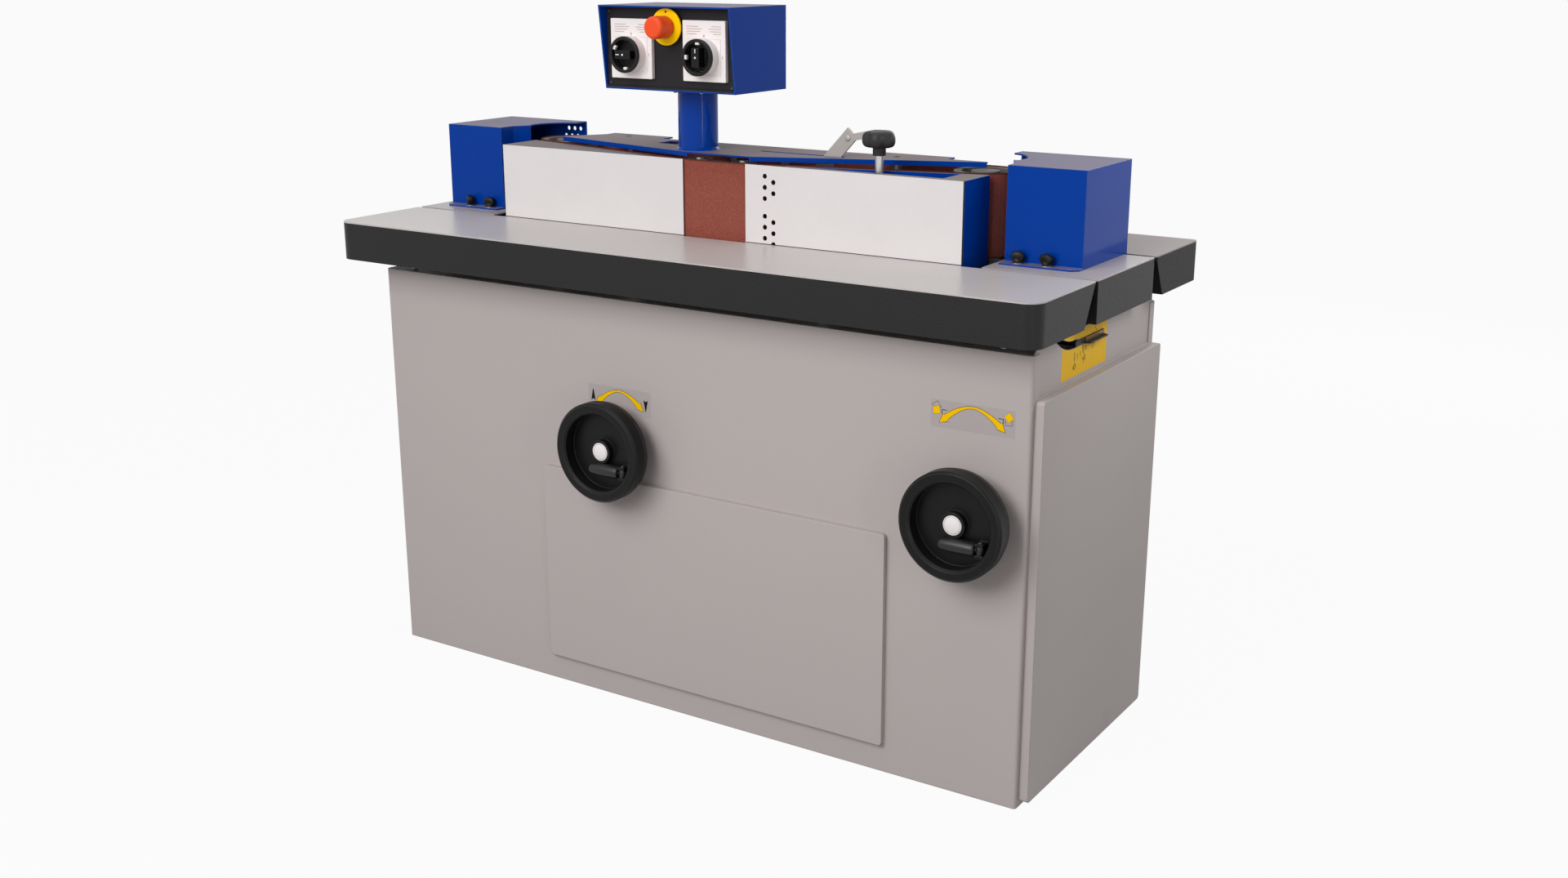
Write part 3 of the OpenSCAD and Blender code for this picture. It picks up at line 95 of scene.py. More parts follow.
class Body(Enum):
    """Bodies of the frame that new pieces ride on."""

    BASE = "base"
    UNIT = "sanding_unit"
    TABLE = "lift_table"
    LIFT_DRIVE = "lift_drive"
    TILT_DRIVE = "tilt_drive"
    LIFT_GRIP = "lift_grip"
    TILT_GRIP = "tilt_grip"
    LEVER = "tension_lever"
    CLAMP = "clamp_knob"
    MAIN = "main_switch"
    MODE = "mode_switch"
    STOP = "stop_button"
    DRIVE = "drive_drum"
    LEFT_ROLLER = "left_roller"
    RIGHT_ROLLER = "right_roller"


class Slot(Enum):
    """Material slots of the record."""

    CABINET = "cabinet_paint"
    FRAME = "frame_paint"
    BLUE = "blue_paint"
    IRON = "cast_table"
    STEEL = "bright_steel"
    BLACK = "black_plastic"
    GREY = "switch_grey"
    RED = "stop_red"
    YELLOW = "stop_yellow"


def linear(rgb: Rgb) -> Rgba:
    """Turns a screen colour into the renderer's linear colour.

    Args:
        rgb: Red, green and blue from 0 to 255.

    Returns:
        Linear red, green and blue with full alpha.
    """
    parts = [c / 255 for c in rgb]
    return (*[p / 12.92 if p <= 0.04045 else ((p + 0.055) / 1.055) ** 2.4 for p in parts], 1.0)


def dimmed(rgb: Rgb, share: float) -> Rgba:
    """Linear colour of a screen colour whose light is cut to a share."""
    return (*[c * share for c in linear(rgb)[:3]], 1.0)


# Shader expressions


class Sock:
    """A node's output that takes part in arithmetic; each operation adds a Math node."""

    def __init__(self, graph: "Graph", socket: bpy.types.NodeSocket) -> None:
        """Keeps the graph and the wrapped output."""
        self.graph = graph
        self.socket = socket

    def op(self, operation: str, *others: Any) -> "Sock":
        """Adds a Math node on this value and others, in that order.

        Args:
            operation: The node's operation.
            others: Numbers or sockets for its further inputs.

        Returns:
            The node's output.
        """
        return self.graph.out("ShaderNodeMath", {"operation": operation}, dict(enumerate((self, *others))))

    def __add__(self, other: Any) -> "Sock":
        """Sum."""
        return self.op("ADD", other)

    __radd__ = __add__

    def __sub__(self, other: Any) -> "Sock":
        """Difference."""
        return self.op("SUBTRACT", other)

    def __rsub__(self, other: Any) -> "Sock":
        """Reflected difference."""
        return self.op("MULTIPLY", -1.0) + other

    def __mul__(self, other: Any) -> "Sock":
        """Product."""
        return self.op("MULTIPLY", other)

    __rmul__ = __mul__

    def sine(self) -> "Sock":
        """Sine of an angle in radians."""
        return self.op("SINE")

    def most(self, other: Any) -> "Sock":
        """The larger of two values."""
        return self.op("MAXIMUM", other)

    def ramp(self, low: float, high: float) -> "Sock":
        """Smooth step from zero at low to one at high, in either order."""
        return self.graph.out(
            "ShaderNodeMapRange",
            {"interpolation_type": "SMOOTHSTEP"},
            {0: self, 1: low, 2: high, 3: 0.0, 4: 1.0},
        )


Value = Union[Sock, float]


class Graph:
    """Node tree of a material or the world, filled through a few short calls."""

    def __init__(self, owner: Union[bpy.types.Material, bpy.types.World]) -> None:
        """Empties the owner's tree.

        Args:
            owner: The material or world.
        """
        owner.use_nodes = True
        self.tree = owner.node_tree
        self.tree.nodes.clear()

    def node(self, kind: str, settings: dict[str, Any], inputs: dict[Any, Any]) -> bpy.types.Node:
        """Adds one node.

        Args:
            kind: The node's type.
            settings: Its own settings, set first.
            inputs: Values or links by socket name or index.

        Returns:
            The new node.
        """
        made = self.tree.nodes.new(kind)
        for key, value in settings.items():
            setattr(made, key, value)
        for key, value in inputs.items():
            self.feed(made.inputs[key], value)
        return made

    def feed(self, socket: bpy.types.NodeSocket, value: Any) -> None:
        """Links a socket, or sets its constant.

        Args:
            socket: The input.
            value: A wrapped output, or a constant.
        """
        if isinstance(value, Sock):
            self.tree.links.new(value.socket, socket)
        else:
            socket.default_value = value

    def out(
        self, kind: str, settings: dict[str, Any], inputs: dict[Any, Any], index: int = 0
    ) -> Sock:
        """Adds a node and wraps one of its outputs.

        Args:
            kind: The node's type.
            settings: Its own settings.
            inputs: Values or links of its sockets.
            index: Which output to wrap.

        Returns:
            The wrapped output.
        """
        return Sock(self, self.node(kind, settings, inputs).outputs[index])

    def place(self) -> Sock:
        """Position on the object, in metres of the row frame."""
        return self.out("ShaderNodeTexCoord", {}, {}, 3)

    def part(self, vector: Sock, axis: Axis) -> Sock:
        """One component of a vector."""
        return self.out("ShaderNodeSeparateXYZ", {}, {0: vector}, axis.value)

    def stretch(self, vector: Sock, scale: Sequence[float]) -> Sock:
        """Scales a vector along each axis."""
        return self.out("ShaderNodeVectorMath", {"operation": "MULTIPLY"}, {0: vector, 1: tuple(scale)})

    def noise(self, vector: Sock, size_mm: float, detail: float = 2.0, rough: float = 0.5) -> Sock:
        """Soft noise from 0 to 1 with patches of about a given size."""
        return self.out(
            "ShaderNodeTexNoise", {},
            {"Vector": vector, "Scale": 1000 / size_mm, "Detail": detail, "Roughness": rough},
        )

    def cells(self, vector: Sock, size_mm: float) -> Sock:
        """Distance to the nearest of many scattered points."""
        return self.out("ShaderNodeTexVoronoi", {}, {"Vector": vector, "Scale": 1000 / size_mm})

    def mix(self, factor: Value, first: Any, second: Any) -> Sock:
        """Mixes two colours."""
        return self.out("ShaderNodeMix", {"data_type": "RGBA"}, {0: factor, 6: first, 7: second}, 2)

    def soft_edges(self, radius_mm: float) -> Sock:
        """Normal that rounds the edges of the solid in the shading."""
        return self.out("ShaderNodeBevel", {"samples": 4}, {"Radius": radius_mm * MM})

    def true_normal(self) -> Sock:
        """The face's own direction."""
        return self.out("ShaderNodeNewGeometry", {}, {}, 3)

    def edge_mask(self, soft: Sock) -> Sock:
        """One along edges, zero on flat faces, from the softened normal."""
        pair = {0: soft, 1: self.true_normal()}
        return self.out("ShaderNodeVectorMath", {"operation": "DOT_PRODUCT"}, pair, 1).ramp(0.995, 0.86)

    def facing(self, axis: Axis) -> Sock:
        """How far a face looks along an axis of the object, from -1 to 1."""
        return self.part(self.out("ShaderNodeTexCoord", {}, {}, 1), axis)

    def bump(self, height: Sock, depth_mm: float, normal: Optional[Sock] = None) -> Sock:
        """Bump from a height of 0 to 1.

        Args:
            height: The height.
            depth_mm: What a height of 1 stands for.
            normal: Normal that it adds to.

        Returns:
            The bent normal.
        """
        inputs: dict[Any, Any] = {"Strength": 1.0, "Distance": depth_mm * MM, "Height": height}
        if normal is not None:
            inputs["Normal"] = normal
        return self.out("ShaderNodeBump", {}, inputs)

    def background_ray(self) -> Sock:
        """Tells the rays that show the background from those that light the machine.

        Returns:
            One for rays of the lens, of gloss and of glass, else zero.
        """
        ray = self.node("ShaderNodeLightPath", {}, {})
        lens, gloss, glass = (
            Sock(self, ray.outputs[f"Is {kind} Ray"]) for kind in ("Camera", "Glossy", "Transmission")
        )
        return lens.most(gloss).most(glass)

    def surface(self, **values: Any) -> None:
        """Closes the tree with one surface shader.

        Args:
            values: Shader inputs, with underscores for the spaces of their names.
        """
        inputs = {key.replace("_", " "): value for key, value in values.items()}
        shader = self.out("ShaderNodeBsdfPrincipled", {}, inputs)
        self.node("ShaderNodeOutputMaterial", {}, {"Surface": shader})


# Finishes

_MADE: dict[str, bpy.types.Material] = {}


@dataclass(frozen=True)
class Finish:
    """A named finish that builds its material once."""

    name: str

    def material(self) -> bpy.types.Material:
        """Makes the material on first use.

        Returns:
            The finish's material.
        """
        if self.name not in _MADE:
            _MADE[self.name] = bpy.data.materials.new(self.name)
            self.shade(Graph(_MADE[self.name]))
        return _MADE[self.name]

    def shade(self, g: Graph) -> None:
        """Fills the material's tree; each finish has its own way."""
        raise NotImplementedError


@dataclass(frozen=True)
class Paint(Finish):
    """Stoved paint on sheet or casting, with orange peel, uneven gloss and a painted highlight along the edges.

    Attributes:
        colour: Screen colour of the paint.
        rough: Mean roughness.
        peel_mm: Size of the paint's grain.
        depth_mm: Depth of that grain.
        patchy: How much the tone drifts over the surface.
        edge_highlight: Colour of the painted highlight along edges.
        edge_highlight_share: Share of that painted highlight along the edges.
        edge_mm: Radius that the edges are softened by.
        ior: Index of refraction of the paint's surface.
        dust: Share of warm grey on faces that look up: fine sanding dust and a painted reflection of the pale
            surroundings.
        drift_mm: Size of the tone's patches.
        smear_mm: Size of the handling marks.
        edge_highlight_patch_mm: Size of the patches in which the painted edge highlight is stronger.
        film_mm: Size of the patches of that grey.
    """

    colour: Rgb = (128, 128, 128)
    rough: float = 0.45
    peel_mm: float = 1.6
    depth_mm: float = 0.05
    patchy: float = 0.35
    edge_highlight: Rgb = (150, 148, 146)
    edge_highlight_share: float = 0.4
    edge_mm: float = 1.6
    ior: float = 1.3
    dust: float = 0.0
    drift_mm: float = 420.0
    smear_mm: float = 60.0
    edge_highlight_patch_mm: float = 7.0
    film_mm: float = 55.0

    def shade(self, g: Graph) -> None:
        """Tone drift, grain, handling marks, a painted highlight along the edges, and on upward faces a grey that is
        settled dust and painted reflection.

        Args:
            g: The material's tree.
        """
        at = g.place()
        cloud = g.noise(at, self.drift_mm, 3)
        peel = g.noise(at, self.peel_mm, 2, 0.6)
        smear = g.noise(g.stretch(at, (1, 1, 0.35)), self.smear_mm, 4, 0.65).ramp(0.56, 0.8)
        soft = g.soft_edges(self.edge_mm)
        # Painted highlight: a mask along the edges, stronger in patches, for edges that catch light.
        edge = g.edge_mask(soft) * (g.noise(at, self.edge_highlight_patch_mm, 3).ramp(0.45, 0.8) * 0.5 + 0.5)
        drift = cloud * self.patchy + (peel - 0.5) * 0.12
        tone = g.mix(drift, linear(self.colour), dimmed(self.colour, 0.86))
        # Painted highlight: the edges turn towards the pale edge colour.
        tone = g.mix(edge * self.edge_highlight_share, tone, linear(self.edge_highlight))
        rough = (cloud - 0.5) * 0.1 + (peel - 0.5) * 0.12 + smear * 0.07 + self.rough
        # Dust and painted reflection: faces that look up turn warm grey in patches.
        if self.dust:
            cover = g.noise(at, self.film_mm, 5, 0.7) * 0.5 + 0.75
            film = g.facing(Axis.Z).ramp(0.75, 0.95) * cover * self.dust
            tone = g.mix(film, tone, linear(DUST_AND_REFLECTION_GREY))
            rough = film * 0.42 + rough
        g.surface(
            Base_Color=tone,
            Roughness=rough,
            Normal=g.bump(peel, self.depth_mm, soft),
            IOR=self.ior,
        )


@dataclass(frozen=True)
class TableIron(Finish):
    """Cast table: ground grey top, dark grained paint on the sides and a bare line where they meet.

    Attributes:
        top: Screen colour of the ground face.
        side: Colour of the paint.
        height_mm: Height of the ground face.
        line_mm: Width of the bare line under it.
        ior: Index of refraction of the surface.
        gloss: Mean roughness of the ground face.
        side_grain: Colour of the paint's raised grain.
        mark_mm: Width of the grinding marks.
        cloud_mm: Size of the tone's patches.
        stain_mm: Size of the stains.
        grain_mm: Size of the paint's grain.
        pit_mm: Distance of the casting's pits.
        depth_mm: Depth of the relief.
        edge_mm: Radius that the edges are softened by.
    """

    top: Rgb = (196, 190, 188)
    side: Rgb = (13, 12, 12)
    height_mm: float = 900.0
    line_mm: float = 2.6
    ior: float = 1.34
    gloss: float = 0.3
    side_grain: Rgb = (30, 28, 28)
    mark_mm: float = 1.1
    cloud_mm: float = 260.0
    stain_mm: float = 38.0
    grain_mm: float = 2.6
    pit_mm: float = 3.4
    depth_mm: float = 0.35
    edge_mm: float = 1.5

    def shade(self, g: Graph) -> None:
        """Chooses top, side or bare edge by direction and height.

        Args:
            g: The material's tree.
        """
        at = g.place()
        up = g.facing(Axis.Z).ramp(0.7, 0.9)
        foot = self.height_mm - self.line_mm
        line = g.part(at, Axis.Z).ramp(foot * MM, (foot + 0.5) * MM)
        bare = (up + line).ramp(0.0, 1.0)
        marks = g.noise(g.stretch(at, (0.06, 1, 1)), self.mark_mm, 3, 0.6)
        cloud = g.noise(at, self.cloud_mm, 4, 0.6)
        stain = g.noise(at, self.stain_mm, 4, 0.7).ramp(0.6, 0.85)
        grain = g.noise(at, self.grain_mm, 3, 0.65)
        pits = g.cells(at, self.pit_mm).ramp(0.55, 0.1)
        metal = g.mix(cloud * 0.3 + marks * 0.2 + stain * 0.12, linear(self.top), dimmed(self.top, 0.7))
        paint = g.mix(grain * 0.7 + cloud * 0.2, linear(self.side), linear(self.side_grain))
        tone = g.mix(bare, paint, metal)
        rough_top = (marks - 0.5) * 0.14 + stain * 0.1 + self.gloss
        rough_side = (grain - 0.5) * 0.2 + 0.5
        relief = bare * (marks * 0.03) + (1 - bare) * (grain * 0.7 + pits * 0.3)
        g.surface(
            Base_Color=tone,
            Roughness=rough_top * bare + rough_side * (1 - bare),
            Normal=g.bump(relief, self.depth_mm, g.soft_edges(self.edge_mm)),
            IOR=self.ior,
        )


@dataclass(frozen=True)
class Steel(Finish):
    """Bright metal with fine marks along one axis, faint spots and rubbed edges.

    Attributes:
        colour: Screen colour of the metal.
        rough: Mean roughness.
        along: Direction of the marks.
        metallic: Share of bare metal.
        mark_mm: Width of the marks.
        spots: Strength of the dull spots.
        rim: Dark colour on the faces of a sheet across Y that do not look along Y: painted shade in its holes and a
            dark band along its cut edges.
        edge: Colour of the rubbed edges.
        ior: Index of refraction of the surface.
        cloud_mm: Size of the tarnish.
        spot_mm: Size of the dull spots.
        depth_mm: Depth of the marks.
        edge_mm: Radius that the edges are softened by.
    """

    colour: Rgb = (196, 194, 192)
    rough: float = 0.34
    along: Axis = Axis.X
    metallic: float = 0.9
    mark_mm: float = 0.7
    spots: float = 0.25
    rim: Optional[Rgb] = None
    edge: Rgb = (224, 222, 220)
    ior: float = 1.5
    cloud_mm: float = 90.0
    spot_mm: float = 9.0
    depth_mm: float = 0.02
    edge_mm: float = 0.6

    def shade(self, g: Graph) -> None:
        """Drawn marks, tarnish, rubbed edges and, on sheets across Y, painted shade on the walls of the holes and a
        dark band round the sheet.

        Args:
            g: The material's tree.
        """
        at = g.place()
        scale = [1.0, 1.0, 1.0]
        scale[self.along.value] = 0.03
        marks = g.noise(g.stretch(at, scale), self.mark_mm, 3, 0.65)
        cloud = g.noise(at, self.cloud_mm, 4, 0.6)
        spot = g.noise(at, self.spot_mm, 4, 0.7).ramp(0.62, 0.82)
        soft = g.soft_edges(self.edge_mm)
        dull = marks * 0.35 + cloud * 0.25 + spot * self.spots
        tone = g.mix(dull, linear(self.colour), dimmed(self.colour, 0.72))
        tone = g.mix(g.edge_mask(soft) * 0.5, tone, linear(self.edge))
        # Painted shade: faces across the sheet, in the holes and along its edges, turn dark.
        if self.rim:
            front = g.facing(Axis.Y)
            tone = g.mix((front * front).ramp(0.6, 0.3), tone, linear(self.rim))
        g.surface(
            Base_Color=tone,
            Metallic=self.metallic,
            Roughness=(marks - 0.5) * 0.16 + spot * 0.14 + self.rough,
            Normal=g.bump(marks, self.depth_mm, soft),
            IOR=self.ior,
        )


@dataclass(frozen=True)
class Thread(Finish):
    """Turned bar with a screw thread along one axis."""

    colour: Rgb = (176, 174, 172)
    along: Axis = Axis.Z
    pitch_mm: float = 5.0
    depth_mm: float = 1.1
    grease: Rgb = (70, 62, 52)
    film_mm: float = 14.0

    def shade(self, g: Graph) -> None:
        """Bands of thread with a trace of grease in their roots.

        Args:
            g: The material's tree.
        """
        at = g.place()
        turn = g.part(at, self.along) * (2 * math.pi / (self.pitch_mm * MM))
        wave = turn.sine() * 0.5 + 0.5
        film = g.noise(at, self.film_mm, 4, 0.6)
        tone = g.mix(wave * 0.8 + film * 0.2, linear(self.grease), linear(self.colour))
        g.surface(
            Base_Color=tone,
            Metallic=0.85,
            Roughness=film * 0.2 + 0.28,
            Normal=g.bump(wave, self.depth_mm),
        )


@dataclass(frozen=True)
class Abrasive(Finish):
    """Cloth belt with bonded grit, a worn band and a taped joint.

    Attributes:
        colour: Screen colour of the grit.
        bond: Colour of the bond between patches of grit.
        gap: Colour of the gaps between grains.
        worn_and_glint: Pale colour of the rubbed band and of painted glints on the grains.
        tape: Colour of the joint.
        fray_and_shade: Colour of the dark bands along both edges of the belt: frayed cloth, and painted shade under
            the top plate.
        joint_x_mm: Place of the joint.
        middle_z_mm: Height of the belt's middle.
        half_mm: Half the height of the band in use.
        grit_mm: Size of the grains.
        patch_mm: Size of the grit's patches.
        depth_mm: Depth of the relief.
    """

    colour: Rgb = (154, 84, 71)
    bond: Rgb = (130, 66, 56)
    gap: Rgb = (100, 48, 40)
    worn_and_glint: Rgb = (190, 130, 112)
    tape: Rgb = (92, 48, 40)
    fray_and_shade: Rgb = (58, 30, 26)
    joint_x_mm: float = -330.0
    middle_z_mm: float = 970.0
    half_mm: float = 62.0
    grit_mm: float = 1.3
    patch_mm: float = 2.6
    depth_mm: float = 0.28

    def shade(self, g: Graph) -> None:
        """Grit, a faintly rubbed band and the slanting joint.

        Args:
            g: The material's tree.
        """
        at = g.place()
        grit = g.cells(at, self.grit_mm)
        fine = g.noise(at, self.patch_mm, 4, 0.75)
        rise = g.part(at, Axis.Z) - self.middle_z_mm * MM
        across = rise * (1 / (self.half_mm * MM))
        out = across * across
        band = out.ramp(1.1, 0.1)
        slant = g.part(at, Axis.X) - self.joint_x_mm * MM + rise * 0.5
        joint = (slant * slant).ramp(0.00006, 0.00002)
        tone = g.mix(fine.ramp(0.3, 0.7), linear(self.bond), linear(self.colour))
        tone = g.mix(grit.ramp(0.45, 0.8) * 0.45, tone, linear(self.gap))
        # Painted glints: pale specks at the grains' middles; also the faintly rubbed band.
        tone = g.mix(grit.ramp(0.16, 0.0) * 0.25 + band * 0.06, tone, linear(self.worn_and_glint))
        tone = g.mix(joint * 0.6, tone, linear(self.tape))
        # Fray and painted shade: a dark band along each edge of the belt.
        tone = g.mix(out.ramp(1.3, 1.45) * 0.85, tone, linear(self.fray_and_shade))
        g.surface(
            Base_Color=tone,
            Roughness=0.94 - grit.ramp(0.25, 0.0) * 0.3,
            Normal=g.bump(grit * 0.7 + fine * 0.3, self.depth_mm),
            IOR=1.2,
        )


@dataclass(frozen=True)
class Plastic(Finish):
    """Moulded plastic with spark grain, slight fading and a painted highlight along the edges.

    Attributes:
        colour: Screen colour of the plastic.
        rough: Mean roughness.
        grain_mm: Size of the grain.
        depth_mm: Depth of the grain.
        lift: How far faded spots and the painted highlight along edges are paler.
        edge_mm: Radius that the edges are softened by.
        ior: Index of refraction of the surface.
        rim: Colour of the painted highlight along edges.
        cloud_mm: Size of the faded spots.
    """

    colour: Rgb = (30, 28, 28)
    rough: float = 0.42
    grain_mm: float = 0.8
    depth_mm: float = 0.05
    lift: float = 0.25
    edge_mm: float = 1.0
    ior: float = 1.25
    rim: Optional[Rgb] = None
    cloud_mm: float = 40.0

    def shade(self, g: Graph) -> None:
        """Grain, fading and a painted highlight along the edges.

        Args:
            g: The material's tree.
        """
        at = g.place()
        grain = g.noise(at, self.grain_mm, 2, 0.6)
        cloud = g.noise(at, self.cloud_mm, 4, 0.6)
        soft = g.soft_edges(self.edge_mm)
        edge = g.edge_mask(soft)
        base = linear(self.colour)
        pale = (*[c + (0.18 - c * 0.12) * self.lift * 0.4 for c in base[:3]], 1.0)
        # Painted highlight: edges lighten together with the faded spots.
        tone = g.mix(cloud * 0.5 + grain * 0.2 + edge * 0.25, base, pale)
        # Painted highlight: a pale rim colour along the edges.
        if self.rim:
            tone = g.mix(edge * 0.7, tone, linear(self.rim))
        g.surface(
            Base_Color=tone,
            Roughness=(grain - 0.5) * 0.16 + (cloud - 0.5) * 0.14 - edge * 0.06 + self.rough,
            Normal=g.bump(grain, self.depth_mm, soft),
            IOR=self.ior,
        )


@dataclass(frozen=True)
class SwitchCollar(Finish):
    """Two-tone mouldings beside each other: pale outer wall, black front rim and inside.

    Attributes:
        split_y_mm: Depth at which the black rim ends.
        middle_mm: Point midway between the two collars, along X and Z.
        pitch_mm: Distance of each collar from that point.
        wall_mm: Radius inside which everything is black.
        pale: Light and dark tone of the outer wall.
        black: Dark and light tone of the rim.
    """

    split_y_mm: float = 0.0
    middle_mm: Point2 = (0.0, 0.0)
    pitch_mm: float = 80.0
    wall_mm: float = 32.0
    pale: tuple[Rgb, Rgb] = ((236, 229, 228), (218, 211, 209))
    black: tuple[Rgb, Rgb] = ((22, 21, 22), (42, 40, 40))

    def shade(self, g: Graph) -> None:
        """Splits the colours by depth and by distance from each collar's axis.

        Args:
            g: The material's tree.
        """
        at = g.place()
        x, z = self.middle_mm
        side = (g.part(at, Axis.X) - x * MM).op("ABSOLUTE") - self.pitch_mm * MM
        rise = g.part(at, Axis.Z) - z * MM
        wall, core = ((r * MM) ** 2 for r in (self.wall_mm, self.wall_mm - 0.5))
        inside = (side * side + rise * rise).ramp(wall, core)
        front = g.part(at, Axis.Y).ramp((self.split_y_mm + 0.2) * MM, (self.split_y_mm - 0.2) * MM)
        grain = g.noise(at, 0.7, 2, 0.6)
        cloud = g.noise(at, 22, 3)
        pale = g.mix(cloud * 0.5, *map(linear, self.pale))
        black = g.mix(cloud * 0.6 + grain * 0.2, *map(linear, self.black))
        g.surface(
            Base_Color=g.mix(front.most(inside), pale, black),
            Roughness=(grain - 0.5) * 0.15 + 0.36,
            Normal=g.bump(grain, 0.03, g.soft_edges(0.8)),
            IOR=1.25,
        )


@dataclass(frozen=True)
class Film(Finish):
    """Printed or plain adhesive film with a faint mottle."""

    colour: Rgb = (240, 190, 40)
    shade_to: Rgb = (226, 172, 30)
    rough: float = 0.4
    cloud_mm: float = 24.0
    scuff_mm: float = 2.2

    def shade(self, g: Graph) -> None:
        """Ink mottle and fine scuffs.

        Args:
            g: The material's tree.
        """
        at = g.place()
        cloud = g.noise(at, self.cloud_mm, 4, 0.6)
        scuff = g.noise(g.stretch(at, (0.1, 1, 1)), self.scuff_mm, 4, 0.7).ramp(0.62, 0.8)
        g.surface(
            Base_Color=g.mix(cloud * 0.6 + scuff * 0.25, linear(self.colour), linear(self.shade_to)),
            Roughness=scuff * 0.2 + (cloud - 0.5) * 0.1 + self.rough,
            Normal=g.bump(cloud, 0.02),
            IOR=1.15,
        )


@dataclass(frozen=True)
class Amber(Finish):
    """Clear tinted plastic of the cursor."""

    colour: Rgb = (150, 104, 46)
    deep: Rgb = (112, 72, 30)
    cloud_mm: float = 8.0
    clear: float = 0.8

    def shade(self, g: Graph) -> None:
        """Tinted glassy body with cloudy faces."""
        cloud = g.noise(g.place(), self.cloud_mm, 3)
        g.surface(
            Base_Color=g.mix(cloud * 0.5, linear(self.colour), linear(self.deep)),
            Roughness=cloud * 0.15 + 0.12,
            Alpha=self.clear,
        )


CABINET_PAINT = Paint(
    "cabinet_paint", (184, 175, 173), rough=0.44, peel_mm=1.4, depth_mm=0.03, patchy=0.25, edge_highlight=(214, 208, 206),
    edge_highlight_share=0.5, edge_mm=3.0, ior=1.32,
)
BLUE_PAINT = Paint(
    "blue_paint", (0, 58, 152), rough=0.14, peel_mm=2.6, depth_mm=0.04, patchy=0.3, edge_highlight=(96, 122, 196), edge_highlight_share=0.6,
    edge_mm=2.4, ior=1.17, dust=0.7,
)
POST_PAINT = replace(
    BLUE_PAINT, name="post_blue_paint", rough=0.06, peel_mm=3.2, depth_mm=0.012, edge_highlight_share=0.4, edge_mm=2.0, ior=1.22,
    dust=0.0,
)
# Blue paint with more of the grey that is dust and painted reflection on its upward faces.
BLUE_DUST_AND_REFLECTION = replace(BLUE_PAINT, name="blue_paint_dust_and_reflection", edge_highlight_share=0.5, edge_mm=2.0, ior=1.15, dust=0.95)
FRAME_PAINT = Paint(
    "frame_paint", (66, 68, 70), rough=0.5, peel_mm=2.2, depth_mm=0.09, patchy=0.5, edge_highlight=(130, 128, 124)
)
MOTOR_PAINT = Paint(
    "motor_paint", (92, 96, 100), rough=0.44, peel_mm=2.0, depth_mm=0.08, patchy=0.5, edge_highlight=(140, 138, 134)
)
PANEL_PAINT = Paint(
    "panel_paint", (40, 38, 40), rough=0.46, peel_mm=1.1, patchy=0.4, edge_highlight=(80, 78, 78), edge_highlight_share=0.2, ior=1.2
)
TABLE_IRON = TableIron("table_iron")
# Painted shade: darker copies of the table iron for the end tables and the rear table, which get less light.
END_IRON_SHADED = TableIron("end_table_iron_shaded", (176, 168, 166))
REAR_IRON_SHADED = TableIron("rear_table_iron_shaded", (162, 154, 152), ior=1.22, gloss=0.5)
FENCE_SHEET = Steel(
    "fence_sheet", (226, 221, 221), rough=0.42, metallic=0.0, mark_mm=0.6, spots=0.08, rim=(58, 56, 56),
    edge=(226, 222, 221),
)
TURNED = Steel("turned_steel", (190, 188, 186), rough=0.3, along=Axis.Z, metallic=0.92)
DRAWN = Steel("drawn_steel", (176, 170, 167), rough=0.5, metallic=0.3)
ALLOY = Steel(
    "drum_alloy", (104, 101, 100), rough=0.6, along=Axis.Z, metallic=0.0, mark_mm=0.9, spots=0.35,
    edge=(150, 147, 146), ior=1.22,
)
ZINC = Steel("zinc_screws", (170, 170, 168), along=Axis.Y, mark_mm=0.5)
DARK_SCREW = Steel("black_oxide", (46, 45, 45), rough=0.42, along=Axis.Y, metallic=0.75, mark_mm=0.5, spots=0.1)
BRONZE = Steel("nut_bronze", (182, 140, 70), rough=0.36, along=Axis.Y)
LIFT_THREAD = Thread("lift_thread", (176, 174, 172), Axis.Z)
TILT_THREAD = Thread("tilt_thread", (170, 168, 166), Axis.Y)
BELT_GRIT = Abrasive("belt_grit")
BLACK_MOULD = Plastic(
    "black_mould", (15, 14, 14), rough=0.4, grain_mm=0.9, lift=0.06, edge_mm=1.8, rim=(78, 75, 74)
)
# Painted light: a paler copy of the black plastic for the clamp knob, for the light it catches.
KNOB_MOULD_LIT = Plastic(
    "knob_mould_lit", (42, 40, 40), rough=0.44, grain_mm=0.9, lift=0.1, edge_mm=1.8, ior=1.3, rim=(96, 93, 92)
)
GRIP_MOULD = Plastic("grip_mould", (26, 24, 24), rough=0.36, grain_mm=0.7, lift=0.1, ior=1.4)
PALE_MOULD = Plastic("pale_mould", (238, 231, 230), rough=0.4, depth_mm=0.03, lift=0.1)
CAP_WHITE = Plastic("cap_white", (236, 231, 230), rough=0.38, grain_mm=1.2, depth_mm=0.02, lift=0.1, edge_mm=0.6)
STOP_RED = Plastic("stop_red", (238, 82, 38), rough=0.36, depth_mm=0.03, lift=0.1)
STOP_YELLOW = Plastic("stop_yellow", (255, 206, 0), rough=0.4, grain_mm=0.9, depth_mm=0.02, lift=0.0)
SIGN_FILM = Film("sign_film", (178, 169, 168), (170, 161, 160), rough=0.36)
SIGN_YELLOW = Film("sign_yellow", (252, 200, 4), (238, 184, 4))
SIGN_INK = Film("sign_ink", (22, 20, 22), (38, 36, 36), rough=0.45)
SCALE_FILM = Film("scale_film", (246, 196, 38), (236, 184, 30))
PRINT_GREY = Film("print_grey", (190, 170, 162), (178, 158, 150), rough=0.45)
AMBER = Amber("amber_cursor")


# Forms


def polar(radius: float, angle: float) -> Point2:
    """Point at a radius and an angle in radians."""
    return radius * math.cos(angle), radius * math.sin(angle)


